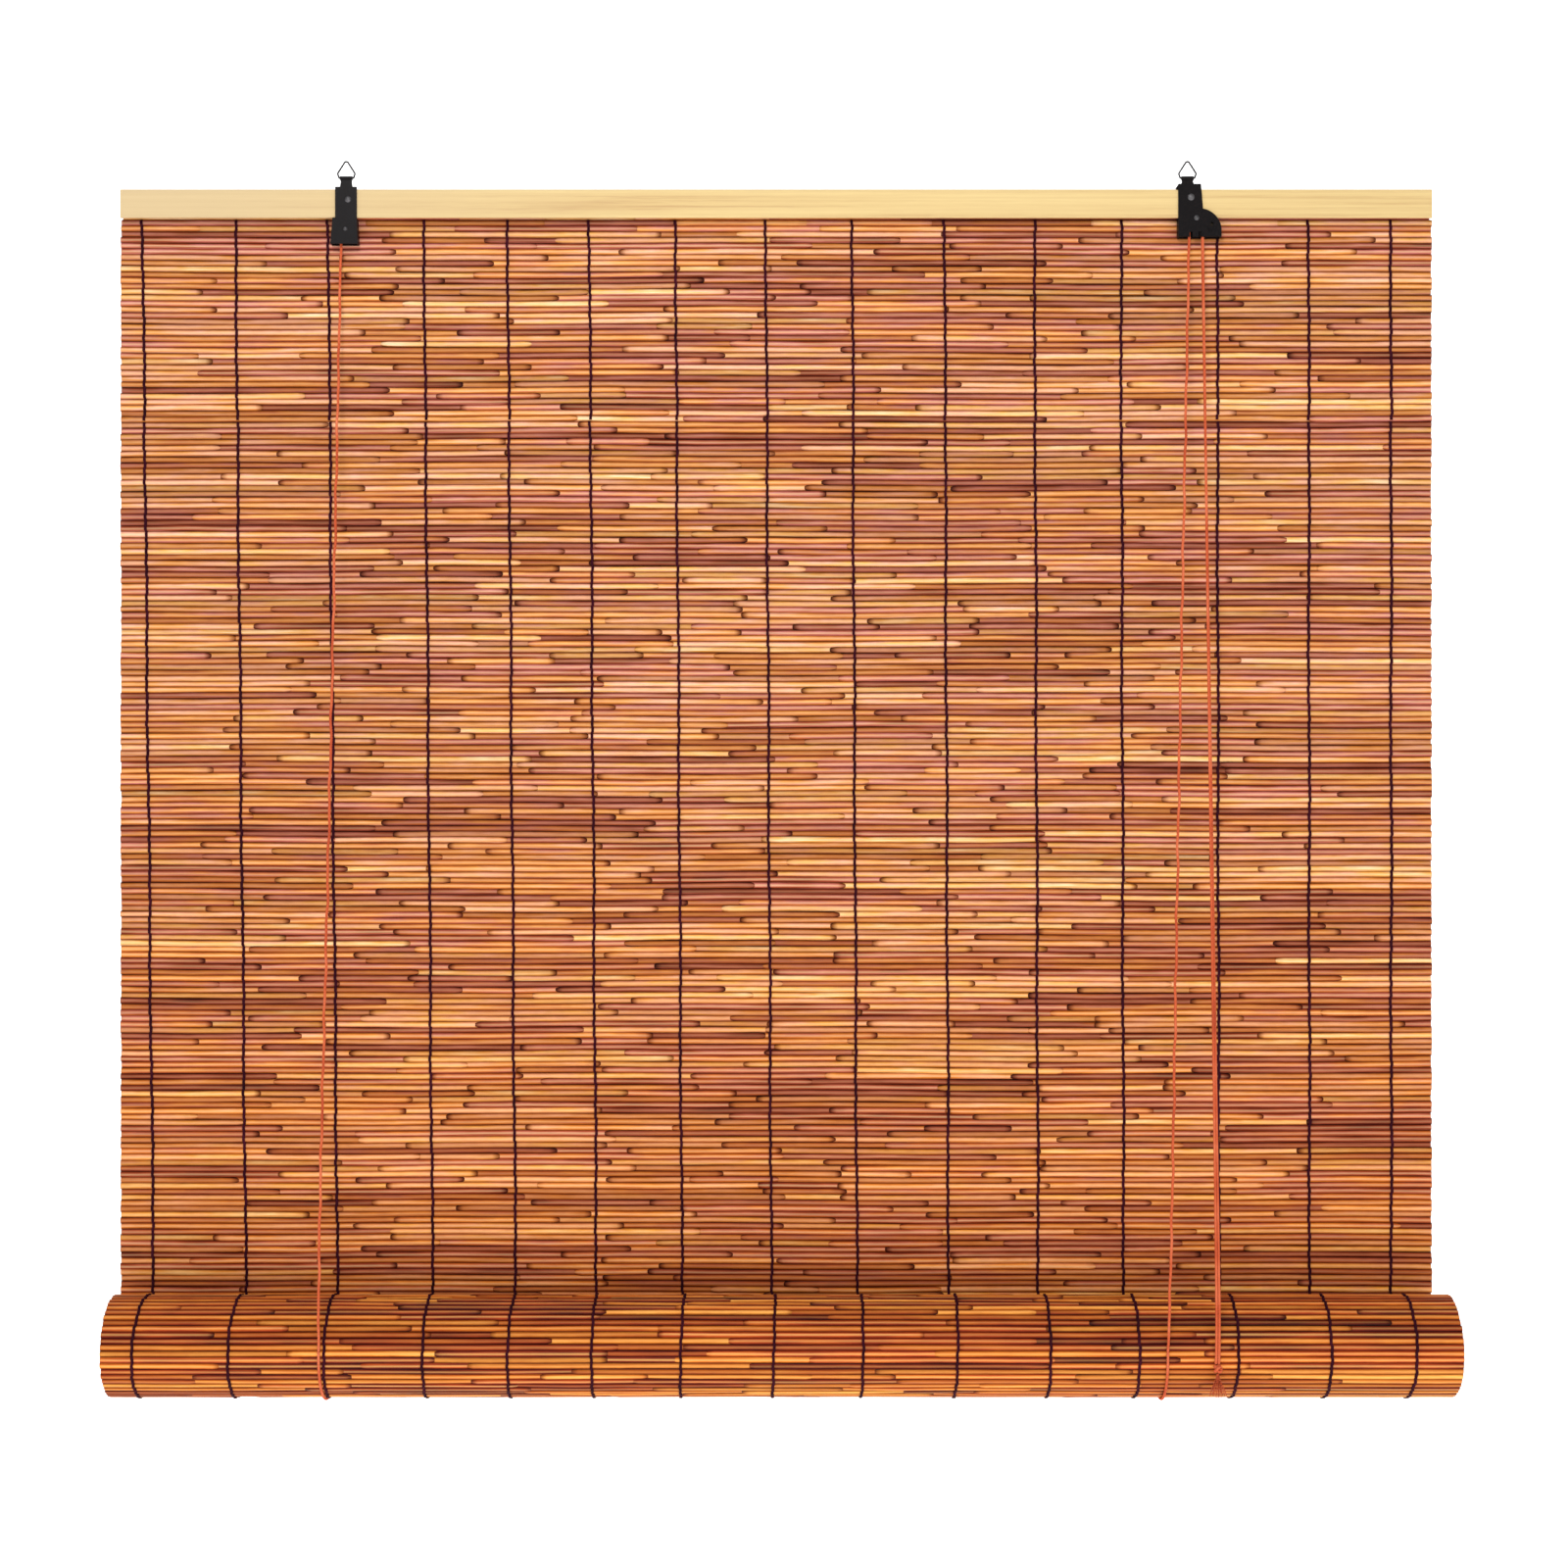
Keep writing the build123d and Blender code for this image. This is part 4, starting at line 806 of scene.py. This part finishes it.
def laid_tube(tubes, line, radius, step=1.2 * MM, lay=LAY_LENGTH, taper=None):
    """Adds a twisted three-strand tube along a line."""
    points, along = even_steps(line, step)
    sides, ups = carried_frame(points)
    turn = along / lay * 2 * math.pi
    sides, ups = (
        np.cos(turn)[:, None] * sides + np.sin(turn)[:, None] * ups,
        np.cos(turn)[:, None] * ups - np.sin(turn)[:, None] * sides,
    )
    corners = np.linspace(0, 2 * math.pi, CORD_CORNERS, endpoint=False)
    lobes = 1 - LOBE_DEPTH + LOBE_DEPTH * np.abs(np.cos(corners * LOBES / 2))
    radii = radius * lobes[None, :] * np.ones((len(points), 1))
    if taper is not None:
        radii = radii * taper(along / along[-1])[:, None]
    tints = np.zeros((len(points), CORD_CORNERS, 4))
    tubes.add(points, sides, ups, radii, tints, along)


print(f"cord of {2 * CORD / MM:.1f} mm, one twist every {LAY_LENGTH / MM:.0f} mm")

# %% [markdown]
# ### Where the cords run
#
# Each lift cord leaves its head, goes down the front, under the roll in a sling, and up the back to an eye
# behind the rail. Each run gets a mesh of its own, and the sling rises with the roll. The front runs
# bow forward a little, so that they still pass over the roll when it is high.

# %% Runs and slings
SLING_GAP = 0.4 * MM
SLING = ROLL_RADIUS + REED + SLING_GAP + CORD
left_bend = np.array([-0.0058, 0.0059, -0.06745])
right_bend = np.array([0.77115, 0.0024, -0.06345])
front_strand_bend = np.array([0.78345, 0.0024, -0.06345])
rear_strand_bend = np.array([0.78345, 0.0059, -0.06345])
left_eye = np.array([-0.005, 0.0246, -0.04725])
right_eye = np.array([0.768, 0.0246, -0.04725])
sling_x = {"left": -0.010, "right": 0.738}
EXIT_LEAD = 4 * MM
FRONT_BOW = 7 * MM
BOW_POWER = 6
BOW_PEAK = (BOW_POWER / (BOW_POWER + 1)) ** BOW_POWER / (BOW_POWER + 1)


def meeting_angle(point, side):
    """Angle on the sling's circle where a cord from a point meets it: side 1 in front, -1 behind."""
    reach = math.hypot(point[1] - ROLL_Y, point[2] - ROLL_Z)
    return math.atan2(point[2] - ROLL_Z, point[1] - ROLL_Y) + side * math.acos(SLING / reach)


def on_sling(x, angle):
    return np.array([x, ROLL_Y + SLING * math.cos(angle), ROLL_Z + SLING * math.sin(angle)])


def lead(bend, target):
    """A little past a bend, towards a target."""
    return bend + (target - bend) / np.linalg.norm(target - bend) * EXIT_LEAD


def slack_line(top, foot, bow):
    """Nearly straight run with the small waves of lightly pulled cotton, bowed forward low down."""
    share = np.linspace(0, 1, 240)
    line = top + np.outer(share, foot - top)
    held = np.sin(math.pi * share) ** 0.3
    line[:, 0] += 0.5 * MM * held * (np.sin(share * 95 + top[0] * 900) + 0.6 * np.sin(share * 211))
    line[:, 1] -= bow * share**BOW_POWER * (1 - share) / BOW_PEAK
    return line


def shorten_with_lift(piece, top, foot):
    """Gives a run its own mesh; the share of its height left after the roll's travel is worked out but not used.
    """
    height = top[2] - foot[2]
    (height - TRAVEL) / height
    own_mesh(piece)


for side, bend, eye in (("left", left_bend, left_eye), ("right", right_bend, right_eye)):
    x = sling_x[side]
    front_angle, rear_angle = meeting_angle(bend, 1), meeting_angle(eye, -1)
    front, rear = on_sling(x, front_angle), on_sling(x, rear_angle)
    for name, top, foot, bow in (
        (f"{side}_front_run", lead(bend, front), front, FRONT_BOW),
        (f"{side}_rear_run", eye, rear, 0),
    ):
        tubes = TubeMesh()
        laid_tube(tubes, slack_line(top, foot, bow), LOBE_CREST)
        run = tubes.make(f"{name}_cord", cord_material)
        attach(run, "rail")
        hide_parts(name)
        shorten_with_lift(run, top, foot)
    angles = np.linspace(front_angle, rear_angle + 2 * math.pi, 120)
    tubes = TubeMesh()
    laid_tube(tubes, np.array([on_sling(x, angle) for angle in angles]), LOBE_CREST)
    sling = tubes.make(f"{side}_sling_cord", cord_material)
    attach(sling, "slings")
    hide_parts(f"{side}_sling")

# %% [markdown]
# ### Pull strands, knot and tassel
#
# The two cords' tails hang together down the front, over the roll, into one knot. They bend well above the
# knot, so that they clear the roll when it is high. Below the knot the ends are frayed to a small tassel.
# The knot is a trefoil, the shape of a plain overhand knot pulled round.

# %% Knot and tassel
knot_low, knot_high = (np.array(corner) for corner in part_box("pull_knot"))
tassel_low, tassel_high = (np.array(corner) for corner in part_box("tassel"))
knot_middle = (knot_low + knot_high) / 2
knot_half = (knot_high[0] - knot_low[0]) / 2

turns = np.linspace(0, 2 * math.pi, 90)
trefoil = np.stack(
    [
        (2 + np.cos(3 * turns)) * np.cos(2 * turns),
        (2 + np.cos(3 * turns)) * np.sin(2 * turns),
        2.2 * np.sin(3 * turns),
    ],
    axis=1,
)
trefoil = knot_middle + trefoil / 3 * (knot_half - CORD)
tubes = TubeMesh()
laid_tube(tubes, trefoil, LOBE_CREST, step=0.9 * MM)
knot = tubes.make("overhand_knot", cord_material)
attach(knot, "slings")
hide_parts("pull_knot")

tassel_top = np.append((tassel_low[:2] + tassel_high[:2]) / 2, tassel_high[2])
tassel_reach = (tassel_high[0] - tassel_low[0]) / 2
tassel_height = tassel_high[2] - tassel_low[2]
TASSEL_STRANDS = 30
TASSEL_MARGIN = 0.6 * MM
FIBRE_RADIUS = 0.62 * MM
FIBRE_LAY = 3.5 * MM
tubes = TubeMesh()
for i in range(TASSEL_STRANDS):
    angle = i * 2.4
    spread = math.sqrt((i + 0.5) / TASSEL_STRANDS)
    outward = np.array([math.cos(angle), math.sin(angle), 0])
    reach = spread * (tassel_reach - TASSEL_MARGIN)
    length = tassel_height * rng.uniform(0.86, 0.99)
    control = [
        tassel_top + outward * 0.4 * MM + np.array([0, 0, -0.2 * MM]),
        tassel_top + outward * reach * 0.22 + np.array([0, 0, -length * 0.3]),
        tassel_top + outward * reach * 0.75 + np.array([0, 0, -length * 0.7]),
        tassel_top + outward * reach + np.array([0, 0, -length]),
    ]
    line = smooth_route("strand_route", control, 8)
    laid_tube(tubes, line, FIBRE_RADIUS, step=1.6 * MM, lay=FIBRE_LAY, taper=lambda s: 1 - 0.45 * s)
tassel = tubes.make("frayed_tassel", cord_material)
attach(tassel, "slings")
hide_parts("tassel")

# %% Pull strands
PULL_MIDDLE, PULL_SPREAD = 0.7815, 1.2 * MM
STRAND_FOOT = knot_high[2] + 0.1 * MM
STRAND_CLEAR = 3 * MM
STRAND_RISE = 70 * MM
for name, bend, x, length in (
    ("pull_strand_front", front_strand_bend, PULL_MIDDLE - PULL_SPREAD, 1.0163),
    ("pull_strand_rear", rear_strand_bend, PULL_MIDDLE + PULL_SPREAD, 1.0166),
):
    target = on_sling(x, meeting_angle(bend, 1))
    top = lead(bend, target)
    slope = (target - bend) / (target[1] - bend[1])
    corner = bend + slope * (ROLL_Y - SLING - bend[1])
    foot = np.array([corner[0], corner[1], STRAND_FOOT])
    low_bend = corner + np.array([0, -STRAND_CLEAR, 0])
    high_bend = low_bend + np.array([0, 0, STRAND_RISE])
    line = smooth_route(f"{name}_route", [top, high_bend, low_bend, foot])
    tubes = TubeMesh()
    laid_tube(tubes, line, LOBE_CREST)
    strand = tubes.make(f"{name}_cord", cord_material)
    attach(strand, "rail")
    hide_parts(name)
    shorten_with_lift(strand, top, foot)
    with_pieces = [knot, tassel] if name == "pull_strand_front" else []
print("cords, knot and tassel made")

# %% [markdown]
# ## Wood and metal
#
# The rail, heads, rings, pulleys and screws keep their CAD shapes, and get finishes. Pine has pale wood with
# long streaks; the heads are stamped steel in black enamel; the rivets are bright steel gone dull.


# %% Pine
def pine_finish():
    """Planed softwood with long grain, a few darker streaks, and fine pores."""
    finish = Finish("planed_pine", Specular_IOR_Level=0.3)
    place = finish.place((1, 1, 1))
    drift = finish.noise(finish.place((2.5, 30, 60)), 1.0, 3.0)
    rings = finish.noise(finish.place((2.0, 90, 260)), 1.0, 2.0)
    pores = finish.noise(finish.place((40, 900, 900)), 1.0, 2.0)
    stops = [
        (0.3, (0.46, 0.27, 0.11)),
        (0.45, (0.61, 0.435, 0.19)),
        (0.6, (0.67, 0.50, 0.225)),
        (0.8, (0.71, 0.56, 0.30)),
    ]
    colour = finish.ramp(rings * 0.5 + drift * 0.35 + pores * 0.15, stops)
    along = finish.node("ShaderNodeSeparateXYZ", None, {"Vector": place})
    pinkness = Value(finish, along.outputs["X"]).step(0.35, LEFT)
    colour = finish.blend(pinkness * 0.6, colour, (0.54, 0.41, 0.25))
    return finish.show(
        Base_Color=colour,
        Roughness=pores * 0.2 + 0.5,
        Normal=finish.bump(rings * 0.4 + pores * 0.6, 0.12 * MM),
    )


# %% Metals and nylon
def enamel_finish():
    """Black enamel, slightly brown, with a fine dusty speckle and a faint orange-peel surface."""
    finish = Finish("black_enamel", Specular_IOR_Level=0.1, Coat_Roughness=0.3)
    speckle = finish.noise(finish.place((1, 1, 1)), 650.0, 3.0)
    orange_peel = finish.noise(finish.place((1, 1, 1)), 420.0, 2.0)
    colour = finish.blend(speckle.step(0.45, 0.75), (0.003, 0.002, 0.0025), (0.008, 0.005, 0.005))
    return finish.show(
        Base_Color=colour,
        Roughness=speckle * 0.3 + 0.3,
        Coat_Weight=speckle * -0.06 + 0.06,
        Normal=finish.bump(orange_peel, 0.08 * MM, 0.4),
    )


def steel_finish(name, tint, roughness, tarnish):
    """Bare metal with fine scratches and patches of tarnish."""
    finish = Finish(name)
    scratch = finish.noise(finish.place((300, 60, 900)), 1.0, 3.0)
    patch = finish.noise(finish.place((1, 1, 1)), 260.0, 3.0)
    dark = tuple(c * tarnish for c in tint)
    return finish.show(
        Base_Color=finish.blend(patch.step(0.4, 0.65), tint, dark),
        Metallic=patch * -0.2 + 1.0,
        Roughness=scratch * 0.25 + roughness,
        Normal=finish.bump(scratch, 0.03 * MM, 0.4),
    )


def nylon_finish():
    """Smoky moulded nylon."""
    finish = Finish("pulley_nylon", Specular_IOR_Level=0.45)
    cloud = finish.noise(finish.place((1, 1, 1)), 300.0, 2.0)
    colour = finish.blend(cloud, (0.05, 0.045, 0.04), (0.10, 0.09, 0.08))
    return finish.show(Base_Color=colour, Roughness=cloud * 0.2 + 0.35)


finishes = {
    "pine": pine_finish(),
    "black_metal": enamel_finish(),
    "rivet": steel_finish("dull_rivet_steel", (0.13, 0.125, 0.13), 0.42, 0.6),
    "screw": steel_finish("zinc_screw", (0.62, 0.60, 0.56), 0.3, 0.75),
    "pulley": nylon_finish(),
    "brass": steel_finish("worn_brass", (0.035, 0.026, 0.018), 0.5, 0.5),
    "cord": cord_material,
    "reed": hanging_reed,
    "roll_reed": rolled_reed,
    "thread": thread_material,
}
slots = {part["node"]: part["material_slot"] for part in frame["record"]["subparts"]}
print(f"{len(finishes)} finishes")

# %% Dress the CAD nodes
for name, node in frame["nodes"].items():
    node.data.materials.clear()
    node.data.materials.append(finishes["black_metal" if name == "lock_axle" else slots[name]])
print(f"{len(frame['nodes'])} nodes dressed")

# %% [markdown]
# ## Floor and backdrop
#
# A single pale sheet runs along the floor and curves up behind the blind. It glows faintly, so that it stays
# white without hard lamps on it.


# %% Sweep
SHEET_DROP = 1.5
SHEET_BEND = 0.9
SHEET_HALF_WIDTH = 7
FLOOR_FRONT = -5.0
WALL_Y = 5.0
WALL_TOP = 4.5


def sweep_sheet():
    """Floor, curve and wall in one mesh."""
    floor_z = RAIL_FOOT - SHEET_DROP
    bend_y, bend_z = WALL_Y - SHEET_BEND, floor_z + SHEET_BEND
    profile = [(FLOOR_FRONT, floor_z), (bend_y, floor_z)]
    for angle in np.linspace(0, math.pi / 2, 13)[1:]:
        profile.append((bend_y + SHEET_BEND * math.sin(angle), bend_z - SHEET_BEND * math.cos(angle)))
    profile.append((WALL_Y, WALL_TOP))
    sides = (MIDDLE - SHEET_HALF_WIDTH, MIDDLE + SHEET_HALF_WIDTH)
    points = [(x, y, z) for x in sides for y, z in profile]
    count = len(profile)
    faces = [(i, i + count, i + count + 1, i + 1) for i in range(count - 1)]
    mesh = bpy.data.meshes.new("sweep")
    mesh.from_pydata(points, [], faces)
    mesh.shade_smooth()
    finish = Finish("white_sweep", Roughness=0.9, Emission_Strength=0.8, Emission_Color=(1, 1, 1, 1))
    finish.show(Base_Color=(0.95, 0.95, 0.95, 1))
    mesh.materials.append(finish.material)
    sheet = bpy.data.objects.new("sweep", mesh)
    bpy.context.scene.collection.objects.link(sheet)
    return sheet


sweep_sheet()
